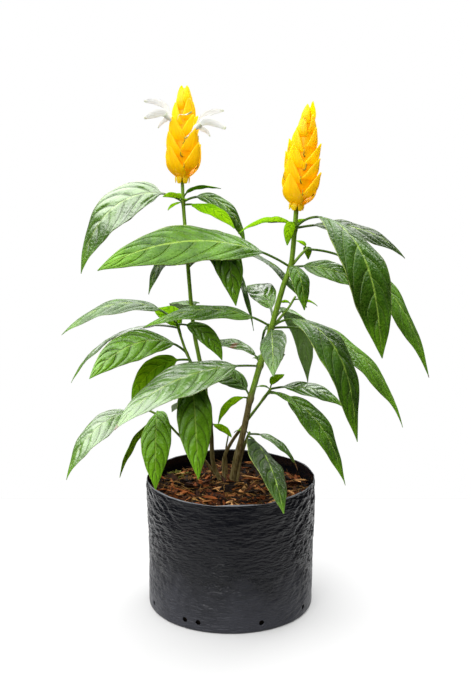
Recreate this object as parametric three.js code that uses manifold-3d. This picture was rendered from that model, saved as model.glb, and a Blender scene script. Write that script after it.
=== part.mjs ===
// A potted golden shrimp plant: a black polyethylene nursery bag filled with bark mulch, five stems that
// stand in it, their leaves in opposite pairs, two upright spikes of overlapping yellow bracts and two
// white flowers that open from the left spike.
// Sizes are in millimetres, Z points up, and the origin is the centre of the bag's flat base.
// The camera of the reference view stands on the -Y side, so -Y is the front and +X is the right.
import * as THREE from "three";
import { mergeVertices } from "three/addons/utils/BufferGeometryUtils.js";
import Module from "manifold-3d";

const wasm = await Module();
wasm.setup();

// Driving dimensions
const BAG_HEIGHT = 152;
const BAG_RADIUS_BASE = 97;
const BAG_RADIUS_RIM = 97.5;
const BAG_WALL = 1.2;
const BAG_SEGMENTS = 40;
const DRAIN_HOLE_RADIUS = 3;
const DRAIN_HOLE_HEIGHT = 11;
const DRAIN_HOLE_DEGREES = [-156, -122, -112, -69, -31, 10, 55, 100, 150];
const SEAT_GAP = 0.3;
const MULCH_HEIGHT = 134;
const MULCH_MOUND = 3;
const MULCH_RELIEF = 1.4;
const CHIP_COUNT = 18;
const CHIP_REACH = 82;
const STEM_DEPTH = 40;
const STEM_RING_STEP = 20;
const NODE_SWELLING = 1.3;
const NODE_HALF_LENGTH = 4;
const LEAF_THICKNESS = 0.8;
const LEAF_WIDTH_SHARE = 0.28;
const LEAF_FOLD_DEGREES = -8;
const PETIOLE_SHARE = 0.14;
const PETIOLE_RADIUS = 1.3;
const LEAF_MARGIN = 0.6;
const LEAF_WIDEST = 0.425;
const EDGE_WAVE = 0.03;
const MIDRIB_STEPS = 60;
const BRACT_THICKNESS = 0.8;
const BRACT_LENGTH = 32;
const BRACT_WIDTH = 29;
const BRACT_MARGIN = 0.5;
const BRACT_FLARE = 4;
const CORE_SHARE = 0.72;
const EDGE_SHARE = 0.93;
const WIDEST_CLASP = 1;
const PETAL_THICKNESS = 0.8;
const PETAL_RIB = 0.6;
const TUBE_RADII = [2, 2, 2.4, 3.2, 3.4];
const UPPER_LIP = [2, 3.6, 4.2, 3.6, 1.2];
const LOWER_LIP = [2.5, 4.5, 6, 5, 1.5];
const SIDE_LOBE = [1.8, 2.8, 3, 2, 0.8];

// Stations along a blade, from base to tip, for leaves of at least the length before them
const LEAF_STATIONS = [
  [90, [0.04, 0.15, 0.29, 0.44, 0.6, 0.75, 0.89, 1]],
  [60, [0.06, 0.2, 0.42, 0.65, 0.86, 1]],
  [0, [0.12, 0.42, 0.78, 1]],
];

// Colour and roughness of each surface
const FINISH = {
  bag: [0x1d1e20, 0.45],
  mulch: [0x6b3f24, 0.95],
  stem: [0x5f7a1e, 0.6],
  leaf: [0x3f6b25, 0.45],
  bract: [0xffbf00, 0.55],
  petal: [0xf4f4ee, 0.6],
};

const vec = (x, y, z) => new THREE.Vector3(x, y, z);
const PETAL_FACING = vec(0, 1, 0.4);
const UP = vec(0, 0, 1);
const AWAY = vec(0, 1, 0);
const radians = THREE.MathUtils.degToRad;
const lerp = THREE.MathUtils.lerp;

// Stems: points from the mulch surface up, [x, y, z], with the radius at the foot and at the top.
// Branches start on the axis of the stem that they grow from.
const STEMS = {
  left: {
    radii: [2.6, 1.7],
    points: [[-10, 20, 134], [-20, 19, 158], [-23, 16, 204], [-32, 11, 269], [-41, 7, 320], [-47, 6, 391],
      [-49, 7, 421], [-52, 9, 466], [-53, 10, 499]],
    nodes: [209, 253, 345, 421, 466],
  },
  left_branch: {
    radii: [1.6, 1.2],
    points: [[-30, 12, 253], [-49, -2, 297], [-55, -6, 316], [-61, -8, 336]],
    nodes: [297],
  },
  right: {
    radii: [3.8, 2.3],
    points: [[1, 20, 134], [6, 15, 165], [15, 8, 204], [22, 0, 242], [33, -8, 285], [45, -18, 330],
      [58, -25, 380], [65, -28, 400], [69, -32, 442], [71, -34, 475]],
    nodes: [243, 285, 330, 400, 442],
  },
  right_offshoot: {
    radii: [2.4, 1.2],
    points: [[7, 20, 134], [11, 18, 164], [18, 15, 190], [22, 14, 200]],
    nodes: [],
  },
  right_upper_branch: {
    radii: [1.6, 1.4],
    points: [[65, -28, 400], [75, -26, 412], [84, -24, 421]],
    nodes: [],
  },
  right_lower_branch: {
    radii: [1.5, 1.1],
    points: [[46, -19, 331], [58, -12, 344], [64, -10, 351], [72, -8, 364]],
    nodes: [],
  },
  middle: {
    radii: [2.2, 1.4],
    points: [[-7, 27, 134], [-8, 28, 162], [0, 29, 181], [17, 30, 206], [32, 32, 226], [47, 33, 247]],
    nodes: [236],
  },
  thin: {
    radii: [1.1, 0.8],
    points: [[-4, 36, 134], [-5, 36, 153], [-6, 36, 169], [-3, 35, 189]],
    nodes: [],
  },
  low: {
    radii: [1.6, 1.2],
    points: [[-15, 34, 134], [-30, 30, 159], [-48, 26, 179], [-59, 22, 192], [-82, 14, 219], [-100, 9, 230]],
    nodes: [219],
  },
};

// The ways in which the leaves grow: the rise of the midrib, in degrees, at its base, middle and tip.
const HABITS = {
  cascading: [50, -55, -80],
  arched: [35, -40, -80],
  hanging: [-35, -65, -70],
  level: [35, 0, -30],
  bowed: [10, -30, -65],
  drooping: [5, -40, -75],
  falling: [0, -50, -75],
  spreading: [10, -15, -50],
  swept: [50, -10, -45],
  erect: [75, 10, -10],
};

// Each leaf: name, stem, height of its node, azimuth in degrees (0 is the right, 90 is away from the
// front), length with its stalk, habit, roll about the midrib and, where it has one, a change of that
// roll from its base to its tip.
const LEAVES = [
  ["leaf_left_01", "left", 466, 175, 170, "arched", -50, 30],
  ["leaf_left_02", "left", 466, 5, 100, "arched", 30],
  ["leaf_left_03", "left", 463, -35, 75, "spreading", 15],
  ["leaf_left_04", "left", 421, 230, 85, "drooping", 10, 30],
  ["leaf_left_05", "left", 424, -35, 120, "cascading", 40],
  ["leaf_left_06", "left", 420, 10, 170, "bowed", 0, 50],
  ["leaf_left_07", "left", 393, 25, 145, "cascading", 30],
  ["leaf_left_08", "left_branch", 334, 180, 145, "swept", -10],
  ["leaf_left_09", "left_branch", 328, 165, 160, "bowed", 0, -40],
  ["leaf_left_10", "left_branch", 316, 120, 80, "erect", -30, 30],
  ["leaf_left_11", "left_branch", 332, -5, 70, "drooping", 60],
  ["leaf_left_12", "left_branch", 297, 210, 135, "swept", -40, -30],
  ["leaf_left_13", "left_branch", 289, 170, 95, "drooping", -70],
  ["leaf_left_14", "left_branch", 291, -80, 140, "hanging", 0, -40],
  ["leaf_left_15", "left", 421, 85, 130, "spreading", 0, 20],
  ["leaf_left_16", "left", 345, 100, 120, "spreading", 0],
  ["leaf_left_17", "left", 209, 120, 110, "swept", 0],
  ["leaf_right_01", "right", 442, -45, 220, "cascading", 0, 60],
  ["leaf_right_02", "right", 443, 15, 140, "spreading", 20, 20],
  ["leaf_right_03", "right_upper_branch", 419, 0, 215, "falling", 20],
  ["leaf_right_04", "right", 400, -10, 90, "spreading", 40],
  ["leaf_right_05", "right", 399, -75, 75, "arched", -10],
  ["leaf_right_06", "right", 400, 190, 220, "level", -30, -30],
  ["leaf_right_07", "right", 331, 185, 150, "level", -10, 10],
  ["leaf_right_08", "right", 338, 110, 95, "erect", -30, 20],
  ["leaf_right_09", "right", 323, 105, 60, "cascading", -60, -30],
  ["leaf_right_10", "right", 329, -35, 200, "cascading", 0],
  ["leaf_right_11", "right", 330, 10, 215, "drooping", 20],
  ["leaf_right_12", "right", 329, -90, 105, "spreading", 20, -20],
  ["leaf_right_13", "right", 285, 155, 75, "erect", -10, -40],
  ["leaf_right_14", "right", 284, 205, 190, "spreading", -20, 20],
  ["leaf_right_15", "right", 243, 145, 75, "erect", -50],
  ["leaf_right_16", "right", 285, 80, 130, "spreading", -10, 10],
  ["leaf_right_17", "right", 334, 60, 160, "cascading", 20, 30],
  ["leaf_middle_01", "middle", 236, -45, 65, "swept", -10, -20],
  ["leaf_middle_02", "middle", 243, -25, 150, "falling", 10, -40],
  ["leaf_middle_03", "middle", 246, 10, 95, "spreading", 25, 30],
  ["leaf_offshoot_01", "right_offshoot", 197, 5, 80, "drooping", 10],
  ["leaf_offshoot_02", "right_offshoot", 195, -75, 155, "spreading", -30, 20],
  ["leaf_low_01", "low", 229, 200, 130, "drooping", -20, 40],
  ["leaf_low_02", "low", 220, -90, 120, "cascading", 10, -70],
  ["leaf_low_03", "low", 216, 215, 90, "falling", 50],
];

// Young leaves are fused to the stem that they grow from, in the same form without a name.
const YOUNG_LEAVES = {
  left: [
    ["left", 466, 215, 30, "erect", -40],
    ["left", 466, 130, 25, "erect", -20],
    ["left", 466, 225, 25, "spreading", 0],
    ["left", 466, -70, 15, "erect", 0],
    ["left", 469, -15, 50, "erect", -20],
    ["left", 209, -40, 35, "spreading", 15],
  ],
  right: [
    ["right", 442, 170, 70, "swept", -10],
    ["right", 441, 205, 45, "erect", -20],
    ["right", 448, -110, 40, "arched", -30],
    ["right", 444, 50, 25, "erect", 0],
    ["right_upper_branch", 419, 120, 25, "erect", 0],
    ["right_upper_branch", 419, 80, 30, "arched", 0],
    ["right_lower_branch", 355, 150, 20, "swept", -20],
    ["right_lower_branch", 360, 10, 30, "spreading", 10],
    ["right", 243, 195, 55, "arched", -10],
    ["right_offshoot", 197, 140, 25, "swept", 0],
  ],
  middle: [
    ["middle", 245, 60, 40, "erect", 10],
    ["middle", 245, 150, 25, "swept", 0],
  ],
};

// Each spike: foot and tip of its axis, its greatest radius, how many pairs of bracts it has, the angle of
// the lowest pair about the axis, and the seed of its small differences.
const SPIKES = {
  left: { foot: [-52.5, 10, 495], tip: [-49.4, 10, 592], radius: 21.5, pairs: 10, turn: 45, seed: 3 },
  right: { foot: [71, -34, 471], tip: [83, -35, 574], radius: 22, pairs: 11, turn: 50, seed: 4 },
};

// White flowers: paths of the tube, the arched upper lip, the spread lower lip and a side lobe.
const FLOWERS = {
  flower_left: {
    tube: [[-50, 8, 538], [-57, 2, 548], [-64, -2, 557], [-70, -4, 562]],
    upper: [[-66, -3, 559], [-70, -4, 571], [-80, -6, 576], [-92, -8, 576]],
    lower: [[-66, -4, 559], [-74, -8, 563], [-84, -10, 562], [-92, -11, 558]],
    side: [[-66, -3, 558], [-70, -2, 556], [-75, -1, 552], [-78, 0, 547]],
  },
  flower_right: {
    tube: [[-50, 8, 532], [-44, 2, 541], [-38, -2, 547], [-32, -4, 552]],
    upper: [[-36, -3, 549], [-30, -4, 559], [-20, -5, 565], [-7, -6, 566]],
    lower: [[-35, -4, 549], [-26, -8, 554], [-15, -11, 553], [-5, -12, 547]],
    side: [[-35, -3, 548], [-30, -1, 546], [-25, 1, 543], [-22, 2, 538]],
  },
};

// Seeded random numbers from 0 to 1, the same on every run.
function randomSource(seed) {
  let state = seed;
  return () => {
    state = (Math.imul(state, 1664525) + 1013904223) >>> 0;
    return state / 4294967296;
  };
}

// A closed solid through rings of equally many points. Each ring runs counter-clockwise about the path,
// its first half on one face of a blade and its second half, in reverse order, on the other, and both
// faces are split into triangles alike.
function loft(rings) {
  const sides = rings[0].length;
  const positions = rings.flat().flatMap((point) => [point.x, point.y, point.z]);
  const indices = [];
  for (let ring = 0; ring + 1 < rings.length; ring += 1) {
    for (let side = 0; side < sides; side += 1) {
      const a = ring * sides + side;
      const b = ring * sides + ((side + 1) % sides);
      const c = a + sides;
      const d = b + sides;
      if (side < sides / 2) {
        indices.push(a, b, d, a, d, c);
      } else {
        indices.push(a, b, c, b, d, c);
      }
    }
  }
  const last = (rings.length - 1) * sides;
  for (let side = 0; side + 1 < sides / 2; side += 1) {
    const facing = sides - 1 - side;
    indices.push(side, facing, side + 1, side + 1, facing, facing - 1);
    indices.push(last + side, last + side + 1, last + facing);
    indices.push(last + side + 1, last + facing - 1, last + facing);
  }
  const geometry = new THREE.BufferGeometry();
  geometry.setAttribute("position", new THREE.Float32BufferAttribute(positions, 3));
  geometry.setIndex(indices);
  return solidOf(geometry);
}

// The solid of a closed geometry, its repeated points merged and its empty triangles dropped.
function solidOf(geometry) {
  geometry.deleteAttribute("normal");
  geometry.deleteAttribute("uv");
  const merged = mergeVertices(geometry, 1e-4);
  const index = Array.from(merged.index.array);
  const kept = [];
  for (let start = 0; start < index.length; start += 3) {
    const [a, b, c] = index.slice(start, start + 3);
    if (a !== b && b !== c && c !== a) {
      kept.push(a, b, c);
    }
  }
  const vertProperties = new Float32Array(merged.attributes.position.array);
  return new wasm.Manifold(new wasm.Mesh({ numProp: 3, vertProperties, triVerts: new Uint32Array(kept) }));
}

// The largest separate body of a solid; scraps that a cut leaves and hollows inside it are dropped.
function largestBody(solid) {
  const bodies = solid.decompose();
  return bodies.reduce((best, body) => (body.volume() > best.volume() ? body : best));
}

// A named mesh of a solid.
function meshOf(name, solid, finish) {
  const { vertProperties, triVerts } = solid.getMesh();
  const geometry = new THREE.BufferGeometry();
  geometry.setAttribute("position", new THREE.Float32BufferAttribute(vertProperties, 3));
  geometry.setIndex(Array.from(triVerts));
  geometry.computeVertexNormals();
  const [color, roughness] = FINISH[finish];
  const mesh = new THREE.Mesh(geometry, new THREE.MeshStandardMaterial({ color, roughness }));
  mesh.name = name;
  return mesh;
}

// A ring round a path point: offsets are pairs, across and out, in the directions side and out.
function ringOf(centre, side, out, offsets) {
  const place = ([across, up]) => centre.clone().addScaledVector(side, across).addScaledVector(out, up);
  return offsets.map(place);
}

// Offsets of a round section with an even number of sides.
function roundSection(radius, sides) {
  const offsets = [];
  for (let side = 0; side < sides; side += 1) {
    const angle = ((side + 0.5) * 2 * Math.PI) / sides;
    offsets.push([radius * Math.cos(angle), radius * Math.sin(angle)]);
  }
  return offsets;
}

// Offsets of a blade's section: two halves that meet at the midrib, folded up by an angle, with the rib
// thicker than the edges and each edge moved up or down by a wave.
function bladeSection(halfWidth, fold, thickness, rib, waves) {
  const across = halfWidth * Math.cos(fold);
  const lift = halfWidth * Math.sin(fold);
  const half = thickness / 2;
  return [
    [across, lift + waves[0] + half],
    [0, rib],
    [-across, lift + waves[1] + half],
    [-across, lift + waves[1] - half],
    [0, -rib],
    [across, lift + waves[0] - half],
  ];
}

// The outline of a leaf along its blade: 1 at the widest place, before the middle, with a long point.
function leafOutline(along) {
  const outline = (share) => share ** 0.85 * (1 - share) ** 1.15;
  return outline(along) / outline(LEAF_WIDEST);
}

// A smooth curve through points.
function curveOf(points) {
  return new THREE.CatmullRomCurve3(points.map((point) => vec(...point)), false, "centripetal");
}

// The point of a stem's axis at a height, found by halving.
function stemPoint(stem, height) {
  const curve = curveOf(STEMS[stem].points);
  let low = 0;
  let high = 1;
  for (let step = 0; step < 30; step += 1) {
    const middle = (low + high) / 2;
    if (curve.getPoint(middle).z < height) {
      low = middle;
    } else {
      high = middle;
    }
  }
  return { share: low, point: curve.getPoint(low), tangent: curve.getTangent(low).normalize() };
}

// A stem as a tapered tube whose nodes are swollen. extra is added to its radius and at its ends. A stem
// that stands in the mulch runs on down into it.
function stemSolid(name, extra = 0) {
  const { radii, points, nodes } = STEMS[name];
  const sides = radii[0] > 2 ? 8 : 6;
  const bottom = points[0][2];
  const top = points[points.length - 1][2];
  const count = Math.max(3, Math.round((top - bottom) / STEM_RING_STEP));
  const heights = [];
  for (let step = 0; step <= count; step += 1) {
    heights.push(lerp(bottom, top, step / count));
  }
  const isClear = (height) => nodes.every((node) => Math.abs(node - height) > 2 * NODE_HALF_LENGTH);
  const clear = heights.filter(isClear);
  const around = nodes.flatMap((node) => [node - NODE_HALF_LENGTH, node, node + NODE_HALF_LENGTH]);
  const ringed = clear.concat(around);
  ringed.sort((a, b) => a - b);
  const rings = [];
  if (bottom === MULCH_HEIGHT) {
    const { point } = stemPoint(name, bottom);
    const foot = point.clone().addScaledVector(UP, -STEM_DEPTH - extra);
    rings.push(ringOf(foot, vec(1, 0, 0), AWAY, roundSection(radii[0] + extra, sides)));
  }
  for (const height of ringed) {
    const { share, point, tangent } = stemPoint(name, height);
    const side = new THREE.Vector3().crossVectors(AWAY, tangent).normalize();
    const out = new THREE.Vector3().crossVectors(tangent, side);
    const swelling = nodes.includes(height) ? NODE_SWELLING : 1;
    const radius = lerp(radii[0], radii[1], share) * swelling + extra;
    const end = height === top ? extra : 0;
    rings.push(ringOf(point.addScaledVector(tangent, end), side, out, roundSection(radius, sides)));
  }
  return loft(rings);
}

// The rise of a midrib, in degrees, at a share of its length: a parabola through its three values.
function riseAt([base, middle, tip], share) {
  const ends = (1 - 2 * share) * (base * (1 - share) - tip * share);
  return ends + 4 * middle * share * (1 - share);
}

// A leaf: a round stalk that widens into a blade, as wide as a share of its length. Its midrib is added
// up from short steps, each in the direction that the azimuth and its habit's rise give there.
function leafSolid(row) {
  const [stem, height, azimuth, length, habit, roll, twist = 0] = row;
  const width = LEAF_WIDTH_SHARE * length;
  const fold = radians(LEAF_FOLD_DEGREES);
  const around = radians(azimuth);
  const directionAt = (share) => {
    const up = radians(riseAt(HABITS[habit], share));
    return vec(Math.cos(up) * Math.cos(around), Math.cos(up) * Math.sin(around), Math.sin(up));
  };
  const path = [stemPoint(stem, height).point];
  for (let step = 0; step < MIDRIB_STEPS; step += 1) {
    const direction = directionAt((step + 0.5) / MIDRIB_STEPS);
    path.push(path[step].clone().addScaledVector(direction, length / MIDRIB_STEPS));
  }
  const pointAt = (share) => {
    const place = share * MIDRIB_STEPS;
    const step = Math.min(MIDRIB_STEPS - 1, Math.floor(place));
    return path[step].clone().lerp(path[step + 1], place - step);
  };
  const frameAt = (share) => {
    const tangent = directionAt(share);
    const level = vec(-Math.sin(around), Math.cos(around), 0);
    const above = new THREE.Vector3().crossVectors(tangent, level);
    const angle = radians(roll + twist * (share - 0.5));
    const side = level.clone().multiplyScalar(Math.cos(angle)).addScaledVector(above, Math.sin(angle));
    return [side, new THREE.Vector3().crossVectors(tangent, side)];
  };
  const stalkRadius = Math.min(PETIOLE_RADIUS, 0.5 + length / 120);
  const rings = [];
  for (const share of [0, PETIOLE_SHARE / 2, PETIOLE_SHARE]) {
    rings.push(ringOf(pointAt(share), ...frameAt(share), roundSection(stalkRadius, 6)));
  }
  for (const along of LEAF_STATIONS.find(([shortest]) => length >= shortest)[1]) {
    const share = lerp(PETIOLE_SHARE, 1, along);
    const halfWidth = (width / 2) * leafOutline(along) + LEAF_MARGIN;
    const wave = EDGE_WAVE * width * leafOutline(along);
    const waves = [wave * Math.sin(along * 17 + azimuth), wave * Math.sin(along * 15 + length)];
    const rib = LEAF_THICKNESS / 2 + (stalkRadius - LEAF_THICKNESS / 2) * (1 - along) * 0.8;
    const section = bladeSection(halfWidth, fold, LEAF_THICKNESS, rib, waves);
    rings.push(ringOf(pointAt(share), ...frameAt(share), section));
  }
  return loft(rings);
}

// The radius of a spike along its axis, as a share of its greatest: it swells over the lowest bracts and
// then narrows evenly to a blunt tip.
function spikeOutline(along) {
  return (0.85 + 0.15 * Math.min(1, along / 0.15)) * (1 - 0.6 * along ** 1.8);
}

// The outline of a bract, broad and rounded at the base, with a short point.
function bractOutline(along) {
  return ((along + 0.03) ** 0.5 * (1 - along) ** 0.95) / 0.4101;
}

// A spike: a core that narrows to its ends, and bracts in crossed pairs that spring from it, clasp it and
// point up and out, but for those near its tip, which are slender and close over it. Hollows closed in
// between them are filled. shift moves it whole, to cut the seats of what passes between the bracts.
function spikeSolid({ foot, tip, radius, pairs, turn, seed }, shift = [0, 0, 0]) {
  const random = randomSource(seed);
  const start = vec(...foot).add(vec(...shift));
  const axis = vec(...tip).sub(vec(...foot));
  const height = axis.length();
  axis.normalize();
  const across = new THREE.Vector3().crossVectors(AWAY, axis).normalize();
  const around = new THREE.Vector3().crossVectors(axis, across);
  const placeAt = (angle, out, up) => {
    const point = start.clone().addScaledVector(axis, up);
    point.addScaledVector(across, out * Math.cos(angle));
    return point.addScaledVector(around, out * Math.sin(angle));
  };
  const coreRings = [];
  const CORE = [0, 0.12, 0.5, 0.8, 0.97];
  for (const along of CORE) {
    const ends = (0.4 + 0.6 * Math.min(1, along / 0.12)) * (1 - along ** 5);
    const out = CORE_SHARE * radius * spikeOutline(along) * ends;
    coreRings.push(ringOf(placeAt(0, 0, along * height), across, around, roundSection(out, 8)));
  }
  let solid = loft(coreRings);
  for (let pair = 0; pair < pairs; pair += 1) {
    const level = (0.8 * (pair + 0.3 - 0.4 * (pair % 2))) / (pairs - 0.7);
    const size = lerp(1, 0.7, level ** 1.6);
    const closing = THREE.MathUtils.smoothstep(level, 0.3, 0.75);
    const slender = 1 - 0.42 * THREE.MathUtils.smoothstep(level, 0.35, 0.8);
    for (const facing of [0, 180]) {
      const angle = radians(turn + 90 * pair + facing + 24 * (random() - 0.5));
      const reach = radius * spikeOutline(level + 0.16) * (0.9 + 0.1 * random());
      const bractLength = (BRACT_LENGTH + 5 * (random() - 0.5)) * size;
      const outAt = (along) => {
        const opening = Math.sin((Math.PI / 2) * Math.min(1, along * 1.4)) ** 0.8;
        const flare = (1 - closing) * BRACT_FLARE * along ** 2.5;
        return lerp(1, reach, opening) + flare - closing * 0.55 * reach * along ** 3;
      };
      const upAt = (along) => level * height - 3 + bractLength * along ** 1.5;
      const rings = [];
      for (const along of [0, 0.22, 0.6, 1]) {
        const before = Math.max(0, along - 0.1);
        const after = Math.min(1, along + 0.1);
        const slope = Math.atan2(upAt(after) - upAt(before), outAt(after) - outAt(before));
        const out = outAt(along);
        const up = upAt(along);
        const outline = bractOutline(along) ** (1 - 0.3 * closing);
        const half = (BRACT_WIDTH / 2) * size * slender * outline + BRACT_MARGIN;
        const spread = Math.min(WIDEST_CLASP, half / Math.max(out, 4));
        const facePoint = (turned, share, face) => {
          const offset = (face * BRACT_THICKNESS) / 2;
          const outward = share * out + offset * Math.sin(slope);
          return placeAt(angle + turned, outward, up - offset * Math.cos(slope));
        };
        rings.push([
          facePoint(-spread, EDGE_SHARE, 1),
          facePoint(0, 1, 1),
          facePoint(spread, EDGE_SHARE, 1),
          facePoint(spread, EDGE_SHARE, -1),
          facePoint(0, 1, -1),
          facePoint(-spread, EDGE_SHARE, -1),
        ]);
      }
      solid = solid.add(loft(rings));
    }
  }
  return largestBody(solid);
}

// What is left of a solid outside a spike, a seat gap clear of it on every side.
function seatedAtSpike(solid, side) {
  const shifts = [[0, 0, 0]];
  for (const gap of [SEAT_GAP, -SEAT_GAP]) {
    shifts.push([gap, 0, 0], [0, gap, 0], [0, 0, gap]);
  }
  const cutAt = (rest, shift) => rest.subtract(spikeSolid(SPIKES[side], shift));
  return largestBody(shifts.reduce(cutAt, solid));
}

// A petal: a blade along a path, its half-widths given from base to tip.
function petalSolid(points, halfWidths, fold) {
  const curve = curveOf(points);
  const rings = halfWidths.map((halfWidth, step) => {
    const share = step / (halfWidths.length - 1);
    const tangent = curve.getTangent(share).normalize();
    const side = new THREE.Vector3().crossVectors(tangent, PETAL_FACING).normalize();
    const out = new THREE.Vector3().crossVectors(tangent, side);
    const section = bladeSection(halfWidth, fold, PETAL_THICKNESS, PETAL_RIB, [0, 0]);
    return ringOf(curve.getPoint(share), side, out, section);
  });
  return loft(rings);
}

// A flower: a round tube that opens into an upper lip, a lower lip and a side lobe.
function flowerSolid({ tube, upper, lower, side }) {
  const curve = curveOf(tube);
  const tubeRings = TUBE_RADII.map((radius, step) => {
    const share = step / (TUBE_RADII.length - 1);
    const tangent = curve.getTangent(share).normalize();
    const level = new THREE.Vector3().crossVectors(tangent, UP).normalize();
    const out = new THREE.Vector3().crossVectors(tangent, level);
    return ringOf(curve.getPoint(share), level, out, roundSection(radius, 6));
  });
  return loft(tubeRings)
    .add(petalSolid(upper, UPPER_LIP, 0.5))
    .add(petalSolid(lower, LOWER_LIP, -0.3))
    .add(petalSolid(side, SIDE_LOBE, -0.2));
}

// The outer radius of the bag at a height.
function bagRadius(height) {
  return lerp(BAG_RADIUS_BASE, BAG_RADIUS_RIM, height / BAG_HEIGHT);
}

// The bag: a flat-bottomed cup turned from its profile, with drain holes through the wall.
function bagSolid() {
  const profile = [
    [0, 0],
    [BAG_RADIUS_BASE, 0],
    [BAG_RADIUS_RIM, BAG_HEIGHT],
    [BAG_RADIUS_RIM - BAG_WALL, BAG_HEIGHT],
    [bagRadius(BAG_WALL) - BAG_WALL, BAG_WALL],
    [0, BAG_WALL],
  ].map(([radius, height]) => new THREE.Vector2(radius, height));
  const turned = new THREE.LatheGeometry(profile, BAG_SEGMENTS).rotateX(Math.PI / 2);
  let bag = solidOf(turned);
  for (const degrees of DRAIN_HOLE_DEGREES) {
    const drill = new THREE.CylinderGeometry(DRAIN_HOLE_RADIUS, DRAIN_HOLE_RADIUS, 10 * BAG_WALL, 8)
      .rotateZ(Math.PI / 2)
      .translate(bagRadius(DRAIN_HOLE_HEIGHT), 0, DRAIN_HOLE_HEIGHT)
      .rotateZ(radians(degrees));
    bag = bag.subtract(solidOf(drill));
  }
  return bag;
}

// The height of the mulch surface: a low mound at the stems with hollows and humps.
function mulchHeight(x, y) {
  const mound = MULCH_MOUND * Math.exp(-(x * x + (y - 20) ** 2) / 1800);
  const humps = Math.sin(x / 7 + 1.3) * Math.cos(y / 9) + 0.6 * Math.sin(x / 4.1 - y / 5.3);
  return MULCH_HEIGHT - MULCH_MOUND / 2 + mound + MULCH_RELIEF * humps;
}

// The mulch: a plug that fills the bag, with a rough top, larger bark chips and plain holes for the stems.
function mulchSolid(stemNames) {
  const floor = BAG_WALL + SEAT_GAP;
  const shares = [1, 0.84, 0.66, 0.46, 0.24];
  const ringAt = (radius, heightAt) => {
    const ring = [];
    for (let segment = 0; segment < BAG_SEGMENTS; segment += 1) {
      const angle = (segment * 2 * Math.PI) / BAG_SEGMENTS;
      const x = radius * Math.sin(angle);
      const y = -radius * Math.cos(angle);
      ring.push(vec(x, y, heightAt(x, y)));
    }
    return ring;
  };
  const inner = (height) => bagRadius(height) - BAG_WALL - SEAT_GAP;
  const rings = [ringAt(inner(floor), () => floor)];
  for (const share of shares) {
    rings.push(ringAt(inner(MULCH_HEIGHT) * share, mulchHeight));
  }
  let mulch = loft(rings);
  const random = randomSource(7);
  for (let chip = 0; chip < CHIP_COUNT; chip += 1) {
    const angle = 2 * Math.PI * random();
    const out = CHIP_REACH * Math.sqrt(random());
    const size = [12 + 14 * random(), 3 + 3 * random(), 2 + 1.5 * random()];
    const x = out * Math.cos(angle);
    const y = out * Math.sin(angle);
    const block = new THREE.BoxGeometry(...size)
      .rotateX(0.5 * (random() - 0.5))
      .rotateY(0.5 * (random() - 0.5))
      .rotateZ(Math.PI * random())
      .translate(x, y, mulchHeight(x, y) + 0.4);
    mulch = mulch.add(solidOf(block));
  }
  for (const name of stemNames.filter((stem) => STEMS[stem].points[0][2] === MULCH_HEIGHT)) {
    mulch = mulch.subtract(stemSolid(name, SEAT_GAP));
  }
  return largestBody(mulch);
}

// The stems that grew together as one piece, by node, and the spike that one of them carries.
const STEM_NODES = {
  stem_left: { parts: ["left", "left_branch"], young: YOUNG_LEAVES.left, spike: "left" },
  stem_right: {
    parts: ["right", "right_offshoot", "right_upper_branch", "right_lower_branch"],
    young: YOUNG_LEAVES.right,
    spike: "right",
  },
  stem_middle: { parts: ["middle"], young: YOUNG_LEAVES.middle },
  stem_thin: { parts: ["thin"], young: [] },
  stem_low: { parts: ["low"], young: [] },
};

// The stems of a node as one solid, extra thicker all round.
function joinedStems(parts, extra = 0) {
  return parts.map((part) => stemSolid(part, extra)).reduce((joined, part) => joined.add(part));
}

const plant = new THREE.Group();
plant.add(meshOf("grow_bag", bagSolid(), "bag"));
const allStems = Object.values(STEM_NODES).flatMap(({ parts }) => parts);
plant.add(meshOf("bark_mulch", mulchSolid(allStems), "mulch"));

for (const side of ["left", "right"]) {
  plant.add(meshOf(`spike_${side}`, spikeSolid(SPIKES[side]), "bract"));
}

for (const [name, paths] of Object.entries(FLOWERS)) {
  plant.add(meshOf(name, seatedAtSpike(flowerSolid(paths), "left"), "petal"));
}

for (const [name, { parts, young, spike }] of Object.entries(STEM_NODES)) {
  let stem = joinedStems(parts);
  for (const row of young) {
    stem = stem.add(leafSolid(row));
  }
  plant.add(meshOf(name, spike ? seatedAtSpike(stem, spike) : stem, "stem"));
  const seat = joinedStems(parts, SEAT_GAP);
  for (const [leafName, ...row] of LEAVES.filter((leaf) => parts.includes(leaf[1]))) {
    plant.add(meshOf(leafName, largestBody(leafSolid(row).subtract(seat)), "leaf"));
  }
}

export default plant;
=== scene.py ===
"""A potted golden shrimp plant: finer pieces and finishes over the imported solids.

Every piece takes the place of a solid of the frame and keeps its form, in metres, Z up, with -Y the
front. The rows of stems, leaves, spikes and flowers are those of the solids, in millimetres and degrees.
"""

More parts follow.
